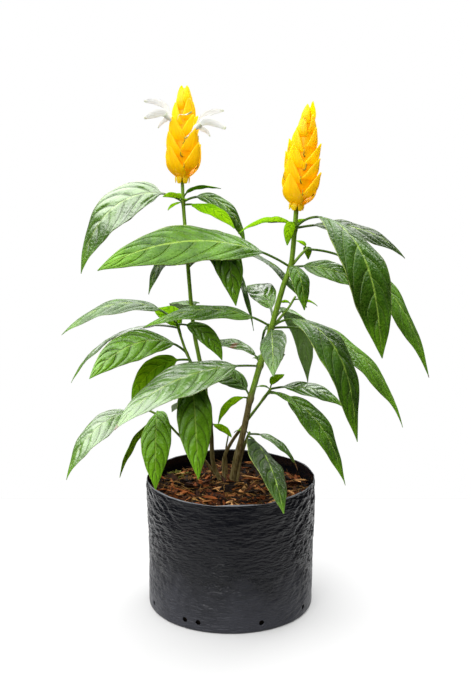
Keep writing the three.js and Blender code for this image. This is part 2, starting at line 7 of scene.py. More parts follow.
import bpy
import numpy as np
from bpy.props import FloatProperty, FloatVectorProperty, IntProperty, PointerProperty
from bpy.types import Operator, Panel, PropertyGroup
from bpy.utils import register_class, unregister_class
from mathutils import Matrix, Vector


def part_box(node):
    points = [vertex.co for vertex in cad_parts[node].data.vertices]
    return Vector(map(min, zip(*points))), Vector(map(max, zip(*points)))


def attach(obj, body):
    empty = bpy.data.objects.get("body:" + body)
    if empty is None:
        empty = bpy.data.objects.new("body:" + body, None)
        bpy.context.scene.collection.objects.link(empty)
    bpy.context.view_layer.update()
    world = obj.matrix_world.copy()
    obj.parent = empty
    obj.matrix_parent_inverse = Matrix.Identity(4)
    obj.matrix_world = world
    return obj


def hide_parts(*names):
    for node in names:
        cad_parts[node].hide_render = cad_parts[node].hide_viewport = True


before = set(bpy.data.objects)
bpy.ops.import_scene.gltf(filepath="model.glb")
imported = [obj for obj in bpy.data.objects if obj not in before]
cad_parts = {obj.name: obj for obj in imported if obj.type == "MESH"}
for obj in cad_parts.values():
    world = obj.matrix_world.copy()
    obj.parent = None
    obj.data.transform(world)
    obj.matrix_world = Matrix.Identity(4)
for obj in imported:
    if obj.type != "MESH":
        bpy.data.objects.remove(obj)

bl_info = {
    "name": "Potted golden shrimp plant",
    "version": (1, 0, 0),
    "blender": (4, 5, 0),
    "location": "3D View > Sidebar > Plant",
    "description": "Builds a potted flowering plant round its frame",
    "category": "Add Mesh",
}

MM = 0.001
BODY = "root"
UP = np.array([0.0, 0.0, 1.0])
AWAY = np.array([0.0, 1.0, 0.0])
# A way that no thread runs along, from which its frame is drawn
ASLANT = np.array([0.1, 0.1, 1.1])
# The way that the petals' upper faces look
PETAL_FACING = np.array([0.0, 1.0, 0.4])

# Bag and mulch, in millimetres. The bag's height and radius are read from the frame.
BAG_WALL = 0.9
BAG_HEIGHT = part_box("grow_bag")[1].z / MM
BAG_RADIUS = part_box("grow_bag")[1].x / MM
# How much narrower than its solid the film starts, which leaves room for creases, how far it widens from
# base to rim, the height over which its foot is rounded, and by how much
CREASE_ROOM = 0.9
BAG_TAPER = 0.4
FOOT_HEIGHT = 3.0
FOOT_ROUNDING = 2.2
# The fold low on the right runs between these places: degrees from the front, and height
FOLD_START = (66.0, 26.0)
FOLD_END = (38.0, 9.0)
# The mulch rises in a mound whose top lies behind the bag's middle. The spread is the square of its
# reach. The gaps are those between the bag's radius and the bed, or what lies on it.
MULCH_HEIGHT = 134.0
MULCH_MOUND = 3.0
MOUND_BACK = 20.0
MOUND_SPREAD = 1800.0
MULCH_RELIEF = 1.4
MULCH_GAP = 4.0
SHRED_GAP = 4.2
# How steeply a strip may lie on the mulch along itself and across, and where the moss grows
SHRED_PITCH_DEGREES = 24
SHRED_ROLL_DEGREES = 50
MOSS_PLACE = (-62, 45, 0.8)
DRAIN_HOLE_RADIUS = 3.0
DRAIN_HOLE_HEIGHT = 11.0
DRAIN_HOLE_DEGREES = (-156, -122, -112, -69, -31, 10, 55, 100, 150)
DRAIN_HOLE_SIDES = 24
DRILL_REACH = 8.0

# Points up the two faces of the bag and round it and the mulch, and how many cells of noise go round
BAG_ROWS_OUTSIDE = 88
BAG_ROWS_INSIDE = 26
BAG_COLUMNS = 288
MULCH_COLUMNS = 144
NOISE_PERIOD = 64
# How far the lines of creases sag between the front and the sides
FESTOON = 38.0
# How deep a stem's foot stands in the mulch, the distance between its rings, and the distance from a
# node past which nothing swells
STEM_FOOT = 8.0
STEM_STEP = 2.4
FAR_FROM_NODES = 99.0

# Stems: points [x, y, z] of the axis from the mulch or the older stem up, radius at the foot and the top,
# node heights, and the height up to which the bark is brown
STEMS = {
    "left": {
        "radii": (2.6, 1.7),
        "points": [[-10, 20, 134], [-20, 19, 158], [-23, 16, 204], [-32, 11, 269], [-41, 7, 320],
                   [-47, 6, 391], [-49, 7, 421], [-52, 9, 466], [-53, 10, 499]],
        "nodes": (209, 253, 345, 421, 466),
        "brown": 200,
    },
    "left_branch": {
        "radii": (1.6, 1.2),
        "points": [[-30, 12, 253], [-49, -2, 297], [-55, -6, 316], [-61, -8, 336]],
        "nodes": (297,),
        "brown": 200,
    },
    "right": {
        "radii": (3.8, 2.3),
        "points": [[1, 20, 134], [6, 15, 165], [15, 8, 204], [22, 0, 242], [33, -8, 285],
                   [45, -18, 330], [58, -25, 380], [65, -28, 400], [69, -32, 442], [71, -34, 475]],
        "nodes": (243, 285, 330, 400, 442),
        "brown": 250,
    },
    "right_offshoot": {
        "radii": (2.4, 1.2),
        "points": [[7, 20, 134], [11, 18, 164], [18, 15, 190], [22, 14, 200]],
        "nodes": (),
        "brown": 190,
    },
    "right_upper_branch": {
        "radii": (1.6, 1.4),
        "points": [[65, -28, 400], [75, -26, 412], [84, -24, 421]],
        "nodes": (),
        "brown": 200,
    },
    "right_lower_branch": {
        "radii": (1.5, 1.1),
        "points": [[46, -19, 331], [58, -12, 344], [64, -10, 351], [72, -8, 364]],
        "nodes": (),
        "brown": 200,
    },
    "middle": {
        "radii": (2.2, 1.4),
        "points": [[-7, 27, 134], [-8, 28, 162], [0, 29, 181], [17, 30, 206], [32, 32, 226],
                   [47, 33, 247]],
        "nodes": (236,),
        "brown": 205,
    },
    "thin": {
        "radii": (1.1, 0.8),
        "points": [[-4, 36, 134], [-5, 36, 153], [-6, 36, 169], [-3, 35, 189]],
        "nodes": (),
        "brown": 180,
    },
    "low": {
        "radii": (1.6, 1.2),
        "points": [[-15, 34, 134], [-30, 30, 159], [-48, 26, 179], [-59, 22, 192], [-82, 14, 219],
                   [-100, 9, 230]],
        "nodes": (219,),
        "brown": 190,
    },
}

# The stems that grew together as one solid
STEM_NODES = {
    "stem_left": ("left", "left_branch"),
    "stem_right": ("right", "right_offshoot", "right_upper_branch", "right_lower_branch"),
    "stem_middle": ("middle",),
    "stem_thin": ("thin",),
    "stem_low": ("low",),
}

# The ways in which the leaves grow: the rise of the midrib at its base, middle and tip
HABITS = {
    "cascading": (50, -55, -80),
    "arched": (35, -40, -80),
    "hanging": (-35, -65, -70),
    "level": (35, 0, -30),
    "bowed": (10, -30, -65),
    "drooping": (5, -40, -75),
    "falling": (0, -50, -75),
    "spreading": (10, -15, -50),
    "swept": (50, -10, -45),
    "erect": (75, 10, -10),
}

# Each leaf: stem, height of its node, azimuth (0 is the right, 90 is away from the front), length with
# its stalk, habit, roll about the midrib and the change of that roll from its base to its tip
LEAVES = {
    "leaf_left_01": ("left", 466, 175, 170, "arched", -50, 30),
    "leaf_left_02": ("left", 466, 5, 100, "arched", 30, 0),
    "leaf_left_03": ("left", 463, -35, 75, "spreading", 15, 0),
    "leaf_left_04": ("left", 421, 230, 85, "drooping", 10, 30),
    "leaf_left_05": ("left", 424, -35, 120, "cascading", 40, 0),
    "leaf_left_06": ("left", 420, 10, 170, "bowed", 0, 50),
    "leaf_left_07": ("left", 393, 25, 145, "cascading", 30, 0),
    "leaf_left_08": ("left_branch", 334, 180, 145, "swept", -10, 0),
    "leaf_left_09": ("left_branch", 328, 165, 160, "bowed", 0, -40),
    "leaf_left_10": ("left_branch", 316, 120, 80, "erect", -30, 30),
    "leaf_left_11": ("left_branch", 332, -5, 70, "drooping", 60, 0),
    "leaf_left_12": ("left_branch", 297, 210, 135, "swept", -40, -30),
    "leaf_left_13": ("left_branch", 289, 170, 95, "drooping", -70, 0),
    "leaf_left_14": ("left_branch", 291, -80, 140, "hanging", 0, -40),
    "leaf_left_15": ("left", 421, 85, 130, "spreading", 0, 20),
    "leaf_left_16": ("left", 345, 100, 120, "spreading", 0, 0),
    "leaf_left_17": ("left", 209, 120, 110, "swept", 0, 0),
    "leaf_right_01": ("right", 442, -45, 220, "cascading", 0, 60),
    "leaf_right_02": ("right", 443, 15, 140, "spreading", 20, 20),
    "leaf_right_03": ("right_upper_branch", 419, 0, 215, "falling", 20, 0),
    "leaf_right_04": ("right", 400, -10, 90, "spreading", 40, 0),
    "leaf_right_05": ("right", 399, -75, 75, "arched", -10, 0),
    "leaf_right_06": ("right", 400, 190, 220, "level", -30, -30),
    "leaf_right_07": ("right", 331, 185, 150, "level", -10, 10),
    "leaf_right_08": ("right", 338, 110, 95, "erect", -30, 20),
    "leaf_right_09": ("right", 323, 105, 60, "cascading", -60, -30),
    "leaf_right_10": ("right", 329, -35, 200, "cascading", 0, 0),
    "leaf_right_11": ("right", 330, 10, 215, "drooping", 20, 0),
    "leaf_right_12": ("right", 329, -90, 105, "spreading", 20, -20),
    "leaf_right_13": ("right", 285, 155, 75, "erect", -10, -40),
    "leaf_right_14": ("right", 284, 205, 190, "spreading", -20, 20),
    "leaf_right_15": ("right", 243, 145, 75, "erect", -50, 0),
    "leaf_right_16": ("right", 285, 80, 130, "spreading", -10, 10),
    "leaf_right_17": ("right", 334, 60, 160, "cascading", 20, 30),
    "leaf_middle_01": ("middle", 236, -45, 65, "swept", -10, -20),
    "leaf_middle_02": ("middle", 243, -25, 150, "falling", 10, -40),
    "leaf_middle_03": ("middle", 246, 10, 95, "spreading", 25, 30),
    "leaf_offshoot_01": ("right_offshoot", 197, 5, 80, "drooping", 10, 0),
    "leaf_offshoot_02": ("right_offshoot", 195, -75, 155, "spreading", -30, 20),
    "leaf_low_01": ("low", 229, 200, 130, "drooping", -20, 40),
    "leaf_low_02": ("low", 220, -90, 120, "cascading", 10, -70),
    "leaf_low_03": ("low", 216, 215, 90, "falling", 50, 0),
}

# Small leaves that are one solid with their stem, in the same form
YOUNG_LEAVES = {
    "stem_left": [
        ("left", 466, 215, 30, "erect", -40, 0),
        ("left", 466, 130, 25, "erect", -20, 0),
        ("left", 466, 225, 25, "spreading", 0, 0),
        ("left", 466, -70, 15, "erect", 0, 0),
        ("left", 469, -15, 50, "erect", -20, 0),
        ("left", 209, -40, 35, "spreading", 15, 0),
    ],
    "stem_right": [
        ("right", 442, 170, 70, "swept", -10, 0),
        ("right", 441, 205, 45, "erect", -20, 0),
        ("right", 448, -110, 40, "arched", -30, 0),
        ("right", 444, 50, 25, "erect", 0, 0),
        ("right_upper_branch", 419, 120, 25, "erect", 0, 0),
        ("right_upper_branch", 419, 80, 30, "arched", 0, 0),
        ("right_lower_branch", 355, 150, 20, "swept", -20, 0),
        ("right_lower_branch", 360, 10, 30, "spreading", 10, 0),
        ("right", 243, 195, 55, "arched", -10, 0),
        ("right_offshoot", 197, 140, 25, "swept", 0, 0),
    ],
    "stem_middle": [
        ("middle", 245, 60, 40, "erect", 10, 0),
        ("middle", 245, 150, 25, "swept", 0, 0),
    ],
}

# Leaves painted in lighter greens that stand in for the light shining through their blades, those with a
# thicker coat of wax and those dulled by age
PAINTED_BACKLIT_LEAVES = ("leaf_left_03", "leaf_left_10", "leaf_left_13", "leaf_low_03")
WAXY_LEAVES = ("leaf_left_01", "leaf_right_14", "leaf_right_08", "leaf_low_01", "leaf_left_09")
DULL_LEAVES = ("leaf_left_02", "leaf_left_04", "leaf_left_06", "leaf_left_14", "leaf_right_01",
               "leaf_right_02", "leaf_right_03", "leaf_right_05", "leaf_right_06", "leaf_right_07",
               "leaf_right_10", "leaf_right_11", "leaf_middle_01", "leaf_middle_02",
               "leaf_offshoot_02", "leaf_low_02")
# What a leaf adds to the noise that picks its green, from the darkest at 0 to the lightest at 1: partly the
# leaf's own tone and partly painted light and shade. Those of leaf_left_05, leaf_left_11 and leaf_left_13
# lift leaves that hang in shade under others, and that of leaf_offshoot_02 darkens a leaf that the front
# lamp lights.
LEAF_TONES_AND_PAINTED_SHADE = {
    "leaf_left_02": -0.1, "leaf_left_04": -0.35, "leaf_left_05": 0.8, "leaf_left_06": -0.35,
    "leaf_left_08": -0.2, "leaf_left_11": 1.0, "leaf_left_12": 0.2, "leaf_left_13": 0.35,
    "leaf_left_14": 0.1, "leaf_right_01": -0.3, "leaf_right_02": -0.6, "leaf_right_05": -0.2,
    "leaf_right_06": -0.05, "leaf_right_08": 0.2, "leaf_right_10": -0.2, "leaf_right_11": 0.2,
    "leaf_right_12": -0.3, "leaf_right_17": 0.4, "leaf_middle_02": -0.05, "leaf_offshoot_02": -0.5,
    "leaf_low_01": 0.05, "leaf_low_02": 0.4, "leaf_low_03": 0.6,
}

# Dried places on leaves: across from -1 to 1, along from 0 to 1, and how far each reaches that way
DRY_PLACES = {
    "leaf_right_14": ((0.0, 1.0, 2.0, 0.045),),
    "leaf_offshoot_01": ((0.0, 1.0, 2.0, 0.22),),
    "leaf_right_13": ((0.5, 0.45, 0.7, 0.06),),
    "leaf_right_03": ((0.0, 1.0, 2.0, 0.02),),
}

SPIKES = {
    "left": {"foot": (-52.5, 10, 495), "tip": (-49.4, 10, 592), "radius": 21.5, "pairs": 10, "turn": 45,
             "seed": 3},
    "right": {"foot": (71, -34, 471), "tip": (83, -35, 574), "radius": 22, "pairs": 11, "turn": 50,
              "seed": 4},
}

# Arch of the root that shows beside the stems
ROOT_PATH = [[2, 2, 133], [5, -2, 141], [11, -4, 144], [17, -3, 141], [21, 0, 133]]

# White flowers: paths of the tube, the arched upper lip, the spread lower lip and a side lobe, and those
# of the stamens that show
FLOWERS = {
    "flower_left": {
        "tube": [[-50, 8, 538], [-57, 2, 548], [-64, -2, 557], [-70, -4, 562]],
        "upper": [[-66, -3, 559], [-70, -4, 571], [-80, -6, 576], [-92, -8, 576]],
        "lower": [[-66, -4, 559], [-74, -8, 563], [-84, -10, 562], [-92, -11, 558]],
        "side": [[-66, -3, 558], [-70, -2, 556], [-75, -1, 552], [-78, 0, 547]],
        "stamens": [[[-57, -3, 556], [-54, -12, 562], [-47, -14, 562], [-41, -12, 565]]],
    },
    "flower_right": {
        "tube": [[-50, 8, 532], [-44, 2, 541], [-38, -2, 547], [-32, -4, 552]],
        "upper": [[-36, -3, 549], [-30, -4, 559], [-20, -5, 565], [-7, -6, 566]],
        "lower": [[-35, -4, 549], [-26, -8, 554], [-15, -11, 553], [-5, -12, 547]],
        "side": [[-35, -3, 548], [-30, -1, 546], [-25, 1, 543], [-22, 2, 538]],
        "stamens": [[[-36, -6, 550], [-41, -13, 545], [-45, -15, 540], [-48, -16, 537]]],
    },
}

# Leaf form, as in the solids
PETIOLE_SHARE = 0.14
PETIOLE_RADIUS = 1.3
LEAF_MARGIN = 0.6
LEAF_WIDEST = 0.425
LEAF_WIDTH_SHARE = 0.28
LEAF_FOLD_DEGREES = -8
EDGE_WAVE = 0.03
MIDRIB_STEPS = 60
# How fast the wave of the margin runs along the blade, on its one side and on its other
WAVE_RATES = (17, 15)
# A stalk's radius grows with the leaf, from this start, by a millimetre for so many of length
STALK_START = 0.5
LENGTH_PER_STALK = 120

# Side veins: how far towards the tip one runs between the midrib and the margin, as a share of the
# blade's length, how much of that it gains by bending forward, and how far the two halves are out of step
VEIN_SWEEP = 0.33
VEIN_BEND = 0.6
VEIN_STAGGER = 0.35
# A leaf has that many pairs of side veins, and one more for so many millimetres of its length
FEWEST_PAIRS = 4.5
LENGTH_PER_PAIR = 80
# The margin's scallops between the veins, as a share of the half-width, and the quilting: the half-width
# at which it is full, and how much it varies
SCALLOP = 0.012
FULL_QUILT_WIDTH = 16
QUILT_MOTTLE = 0.5

# Spike form, as in the solids
BRACT_LENGTH = 32.0
BRACT_WIDTH = 29.0
BRACT_MARGIN = 0.5
BRACT_FLARE = 4.0
# What the outline of a bract comes to at its widest place, by which it is scaled to 1
BRACT_PEAK = 0.4101
BRACT_ROWS = 26
BRACT_COLUMNS = 19
CORE_SHARE = 0.72
CORE_SIDES = 12
WIDEST_CLASP = 1.0
# The random numbers that place the bracts: each state is the last one times the factor, plus the step,
# within the period
RANDOM_FACTOR = 1664525
RANDOM_STEP = 1013904223
RANDOM_PERIOD = 4294967296
# The lobes that spread below a spike: how many, how far out and up their paths run, and their half-widths
FOOT_LOBES = 6
LOBE_OUT = np.array([1.0, 6.0, 8.0, 7.5])
LOBE_UP = np.array([3.0, 1.0, -3.0, -8.0])
LOBE_WIDTHS = (1.6, 2.6, 3.6, 1.8)
# The remains of flowers: the distance between them up a seam, how far out, as a share of the spike's
# radius, and up their paths run, and their radii
CALYX_STEP = 14.0
CALYX_OUT = np.array([0.7, 0.82, 0.84])
CALYX_UP = np.array([0.0, 2.0, 8.0])
CALYX_RADII = (0.9, 0.8, 0.4)

# Flower form, as in the solids: radii of the tube from base to tip, and for each petal its half-widths
# and the angle of its fold in radians. The stamens swell to anthers between two shares of their length.
TUBE_RADII = (2, 2, 2.4, 3.2, 3.4)
PETALS = {
    "upper": ((2, 3.6, 4.2, 3.6, 1.2), 0.5),
    "lower": ((2.5, 4.5, 6, 5, 1.5), -0.3),
    "side": ((1.8, 2.8, 3, 2, 0.8), -0.2),
}
PETAL_HALF_THICKNESS = 0.18
STAMEN_RADII = (0.2, 0.2, 0.2, 0.2, 1.0, 0.7)
ANTHER_START = 0.7
ANTHER_FULL = 0.8

# The photograph's camera, in metres, millimetres and degrees
CAMERA_PLACE = (0.0055, -1.371, 0.640)
CAMERA_PITCH = 13.81
CAMERA_LENS = 65.0
CAMERA_SENSOR = 36.0

# The middle of the bright window, seen from the plant
WINDOW = (-0.2, 0.12, 0.86)

# The floor's reach to each side and to the rear, and the place and size of each lamp, all in metres
FLOOR_SIDE = 0.36
FLOOR_REAR = 0.32
LAMPS = {
    "key": ((-0.6, -1.4, 1.15), 0.8),
    "back": ((0.9, 1.3, 1.5), 1.1),
}
LAMP_TARGET = (0, 0, 0.3)


def linear(hex_colour):
    """Linear RGBA of an sRGB hex colour: c/12.92 up to 0.04045, and ((c+0.055)/1.055)^2.4 above it."""
    channels = [int(hex_colour[start:start + 2], 16) / 255 for start in (1, 3, 5)]
    return tuple(c / 12.92 if c <= 0.04045 else ((c + 0.055) / 1.055) ** 2.4 for c in channels) + (1.0,)


def colour_property(name, description, hex_colour):
    """A colour that a user can change, its default given as sRGB hex."""
    return FloatVectorProperty(name=name, description=description, subtype="COLOR", size=4, min=0,
                               max=1, default=linear(hex_colour))


def smoothstep(low, high, value):
    """0 below low, 1 above high, and 3t^2 - 2t^3 between them."""
    t = np.clip((value - low) / (high - low), 0, 1)
    return t * t * (3 - 2 * t)


def hump(distance, reach):
    """A bell: exp(-(distance / reach)^2)."""
    return np.exp(-(distance / reach) ** 2)


def smooth_noise(x, y, seed, period=NOISE_PERIOD):
    """Value noise from -1 to 1: random numbers at whole coordinates, blended by 3t^2 - 2t^3 between them.

    It repeats after period cells, so a pattern round the bag closes on itself.
    """
    lattice = np.random.default_rng(seed).uniform(-1, 1, (period, period))
    column, row = np.floor(x).astype(int), np.floor(y).astype(int)
    tx, ty = x - column, y - row
    tx, ty = tx * tx * (3 - 2 * tx), ty * ty * (3 - 2 * ty)

    def corner(i, j):
        return lattice[(column + i) % period, (row + j) % period]

    near = corner(0, 0) * (1 - tx) + corner(1, 0) * tx
    far = corner(0, 1) * (1 - tx) + corner(1, 1) * tx
    return near * (1 - ty) + far * ty


def normalised(vectors):
    """Vectors along the last axis, each divided by its length."""
    return vectors / np.linalg.norm(vectors, axis=-1, keepdims=True)


def curve_points(points, shares):
    """Points of a smooth curve at shares of it from 0 to 1, and its directions there.

    Each stretch is the cubic whose end slopes come from its neighbours, with knots spaced by the square
    root of the distance, and the curve is carried straight on past its two ends.
    """
    knots = np.array(points, float)
    knots = np.vstack([2 * knots[0] - knots[1], knots, 2 * knots[-1] - knots[-2]])
    place = np.clip(np.asarray(shares, float), 0, 1) * (len(knots) - 3)
    start = np.minimum(place.astype(int), len(knots) - 4)
    t = (place - start)[:, None]
    p0, p1, p2, p3 = (knots[start + offset] for offset in range(4))
    d0, d1, d2 = (np.sqrt(np.linalg.norm(b - a, axis=1))[:, None]
                  for a, b in ((p0, p1), (p1, p2), (p2, p3)))
    slope1 = ((p1 - p0) / d0 - (p2 - p0) / (d0 + d1) + (p2 - p1) / d1) * d1
    slope2 = ((p2 - p1) / d1 - (p3 - p1) / (d1 + d2) + (p3 - p2) / d2) * d1
    square = 3 * (p2 - p1) - 2 * slope1 - slope2
    cube = 2 * (p1 - p2) + slope1 + slope2
    along = normalised(slope1 + 2 * square * t + 3 * cube * t ** 2)
    return p1 + slope1 * t + square * t ** 2 + cube * t ** 3, along


def stem_places(stem, heights):
    """Points, directions and shares of a stem's axis at heights, read from its curve."""
    shares = np.linspace(0, 1, 2001)
    points, _ = curve_points(STEMS[stem]["points"], shares)
    found = np.interp(heights, points[:, 2], shares)
    return *curve_points(STEMS[stem]["points"], found), found


def tube_faces(rings, sides):
    """Quads between rings that have equally many points, without the two ends."""
    start = np.arange(rings - 1)[:, None] * sides
    around = np.arange(sides)[None, :]
    a, b = start + around, start + (around + 1) % sides
    return np.stack([a, b, b + sides, a + sides], axis=-1).reshape(-1, 4)


def closed_tube(rings):
    """Vertices and faces of rings (n, sides, 3) joined to a tube, each end closed by a fan."""
    count, sides, _ = rings.shape
    ends = rings[[0, -1]].mean(axis=1)
    vertices = np.vstack([rings.reshape(-1, 3), ends])
    around = np.arange(sides)
    following = (around + 1) % sides
    last = (count - 1) * sides
    foot = np.stack([np.full(sides, count * sides), following, around], axis=-1)
    top = np.stack([np.full(sides, count * sides + 1), last + around, last + following], axis=-1)
    return vertices, [tube_faces(count, sides), foot, top]


def ring_values(*values):
    """Three values for each vertex of a closed tube, given for its rings. The middle of an end takes those
    of the first point of its ring."""
    stacked = np.stack(np.broadcast_arrays(*values), axis=-1)
    return np.vstack([stacked.reshape(-1, 3), stacked[[0, -1], 0]])


def both_faces(over):
    """A loop round a thin blade: the places across its upper face, then back under it, and for each place
    its face, 1 above and -1 below."""
    across = np.concatenate([over, over[-2:0:-1]])[None, :]
    face = np.concatenate([np.ones(over.size), -np.ones(over.size - 2)])[None, :]
    return across, face


def merged(parts):
    """One shape of many: pairs of vertices and lists of face arrays, numbered on one after the other."""
    vertices, faces, first = [], [], 0
    for points, arrays in parts:
        vertices.append(points)
        faces.extend(array + first for array in arrays)
        first += len(points)
    return np.vstack(vertices), faces


def merged_with_values(shapes):
    """One shape of many, each given with the values of its vertices, and all their values."""
    parts, values = zip(*shapes)
    return *merged(parts), np.vstack(values)


def outward(vertices, faces):
    """The faces, turned round where the volume that they enclose comes out negative.

    The volume is the sum over triangles of a . (b x c) / 6.
    """
    volume = 0.0
    for array in faces:
        for corner in range(1, array.shape[1] - 1):
            a, b, c = (vertices[array[:, index]] for index in (0, corner, corner + 1))
            volume += np.einsum("ij,ij->", a, np.cross(b, c)) / 6
    return faces if volume > 0 else [array[:, ::-1] for array in faces]


def build_mesh(name, vertices, faces, attributes=None, smooth=True):
    """A mesh of vertices in millimetres and arrays of triangles or quads, with vectors for each vertex."""
    mesh = bpy.data.meshes.new(name)
    faces = outward(vertices, faces)
    corners = np.concatenate([array.ravel() for array in faces]).astype(np.int32)
    sizes = np.concatenate([np.full(len(array), array.shape[1], np.int32) for array in faces])
    starts = np.concatenate([[0], np.cumsum(sizes)[:-1]]).astype(np.int32)
    mesh.vertices.add(len(vertices))
    mesh.vertices.foreach_set("co", (vertices * MM).astype(np.float32).ravel())
    mesh.loops.add(len(corners))
    mesh.loops.foreach_set("vertex_index", corners)
    mesh.polygons.add(len(sizes))
    mesh.polygons.foreach_set("loop_start", starts)
    mesh.polygons.foreach_set("use_smooth", np.full(len(sizes), smooth))
    for key, values in (attributes or {}).items():
        layer = mesh.attributes.new(key, "FLOAT_VECTOR", "POINT")
        layer.data.foreach_set("vector", np.asarray(values, np.float32).ravel())
    mesh.update(calc_edges=True)
    mesh.validate()
    return mesh


def place_piece(mesh, material, slot, *nodes):
    """Puts a mesh into the scene as a piece of the plant that stands for solids of the frame."""
    piece = bpy.data.objects.new(mesh.name, mesh)
    bpy.context.scene.collection.objects.link(piece)
    mesh.materials.append(material)
    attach(piece, BODY)
    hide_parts(*nodes)
    return piece


def bag_film(settings):
    """The film of the bag: its profile carried round the axis, as (rows, columns, 3) points.

    The profile runs from the middle of the base out, up the outer face, over the rim, down the inner face
    and back to the middle. Creases move the wall in and out, alike on both faces, by a sum of
    - low dents: broad noise about a hand wide;
    - ripples: fine lines that run round the bag, broken up by noise;
    - crumples: sharp ridges, 1 - 2|noise|, strongest at the two sides and low;
    - one fold: a ridge beside a groove, low on the right.
    Ripples and crumples hang in festoons: their height is counted from the curve festoon (1 - cos 2a)
    for the angle a from the front.
    """
    def radius(height):
        return BAG_RADIUS - CREASE_ROOM + BAG_TAPER * height / BAG_HEIGHT

    wall, top = BAG_WALL, BAG_HEIGHT - 1
    outer = np.concatenate([
        np.linspace(0, FOOT_HEIGHT, 5)[:-1], np.linspace(FOOT_HEIGHT, top, BAG_ROWS_OUTSIDE)])
    inner = np.linspace(top, wall, BAG_ROWS_INSIDE)
    rounding = FOOT_ROUNDING * (1 - smoothstep(0, FOOT_HEIGHT, outer)) ** 2
    rim = np.linspace(0, np.pi, 6)[1:-1]
    across_base = np.array([0.3, 0.6, 0.85])
    base_radius = BAG_RADIUS - CREASE_ROOM - FOOT_ROUNDING
    rows_out = np.concatenate([
        across_base * base_radius, radius(outer) - rounding,
        radius(BAG_HEIGHT) - wall / 2 + wall / 2 * np.cos(rim),
        radius(inner) - wall, across_base[::-1] * (base_radius - wall)])
    rows_up = np.concatenate([np.zeros(3), outer, top + np.sin(rim), inner, np.full(3, wall)])
    angle = np.linspace(0, 2 * np.pi, BAG_COLUMNS, endpoint=False)[None, :]
    height = rows_up[:, None]
    turn = NOISE_PERIOD * angle / (2 * np.pi)
    wallness = smoothstep(0.86, 0.97, rows_out / BAG_RADIUS)[:, None]
    level = height / BAG_HEIGHT
    dents = 1.1 * smooth_noise(turn / 8, height / 55, 21, 8)
    draped = height - FESTOON * (1 - np.cos(2 * angle)) + 8 * smooth_noise(turn / 4, height / 40, 22, 16)
    lines = smooth_noise(turn / 2, draped / 2.6, 23, 32)
    broken = smoothstep(-0.35, 0.5, smooth_noise(turn, height / 12, 24))
    sides = np.maximum(0.2 + 0.8 * smoothstep(0.35, 0.9, np.abs(np.sin(angle))),
                       0.5 - 0.35 * smoothstep(0.2, 0.75, level))
    slanted = smooth_noise(turn, draped / 5, 25) + 0.6 * smooth_noise(2 * turn, draped / 3, 26)
    ridges = (1 - 2 * np.abs(slanted)) * sides * smoothstep(0.03, 0.25, level)
    depth = dents + settings.ripple * lines * broken + settings.crumple * ridges + bag_fold(angle, height)
    edge = smoothstep(0.93, 1, level)
    depth = depth * (1 - 0.6 * edge) + 0.7 * edge * smooth_noise(turn / 2, 3 + 0 * turn, 27, 32)
    out = rows_out[:, None] + wallness * np.minimum(depth - 1.0, 0.4)
    up = height + edge * (0.8 * smooth_noise(turn / 2, 7 + 0 * turn, 28, 32) - 0.8)
    return np.stack([out * np.sin(angle), -out * np.cos(angle), up], axis=-1)


def bag_fold(angle, height):
    """The fold low on the right: a ridge beside a groove along a line, in arc length and height.

    The angle is counted from the front towards the right.
    """
    start, end = (np.array([BAG_RADIUS * np.radians(degrees), up])
                  for degrees, up in (FOLD_START, FOLD_END))
    step = end - start
    side, above = angle * BAG_RADIUS - start[0], height - start[1]
    share = np.clip((side * step[0] + above * step[1]) / (step @ step), 0, 1)
    off = (side * step[1] - above * step[0]) / np.linalg.norm(step)
    reach = np.hypot(side - share * step[0], above - share * step[1])
    return (1.1 * hump(off, 1.6) - 0.9 * hump(off + 3, 2.0)) * hump(reach, 5)


def mulch_top(x, y):
    """Height of the mulch surface, as in the solid: a mound at the stems, with hollows and humps."""
    mound = MULCH_MOUND * np.exp(-(x * x + (y - MOUND_BACK) ** 2) / MOUND_SPREAD)
    humps = np.sin(x / 7 + 1.3) * np.cos(y / 9) + 0.6 * np.sin(x / 4.1 - y / 5.3)
    return MULCH_HEIGHT - MULCH_MOUND / 2 + mound + MULCH_RELIEF * humps


def mulch_bed():
    """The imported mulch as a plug: rings of a rough top that shrink to its middle, over a plain side."""
    angle = np.linspace(0, 2 * np.pi, MULCH_COLUMNS, endpoint=False)[None, :]
    radius = (BAG_RADIUS - MULCH_GAP) * np.linspace(1, 0.02, 44)[:, None]
    x, y = radius * np.cos(angle), radius * np.sin(angle)
    rough = (1.3 * smooth_noise(x / 6 + 20, y / 6 + 20, 31)
             + 0.8 * smooth_noise(x / 2.6 + 30, y / 2.6 + 30, 32))
    top = np.stack([x, y, mulch_top(x, y) + rough - 1.2], axis=-1)
    foot = top[:1] * [1, 1, 0] + [0, 0, 2.0]
    return closed_tube(np.concatenate([foot, top]))


def scattered(count, seed, reach):
    """Places spread evenly over a disc, and the random numbers that go on: the radius is the reach times
    the square root of a random number."""
    random = np.random.default_rng(seed)
    radius, angle = reach * np.sqrt(random.random(count)), 2 * np.pi * random.random(count)
    return radius * np.cos(angle), radius * np.sin(angle), random


def turned(first, second, angle):
    """A pair of coordinates turned by an angle."""
    cosine, sine = np.cos(angle), np.sin(angle)
    return first * cosine - second * sine, first * sine + second * cosine


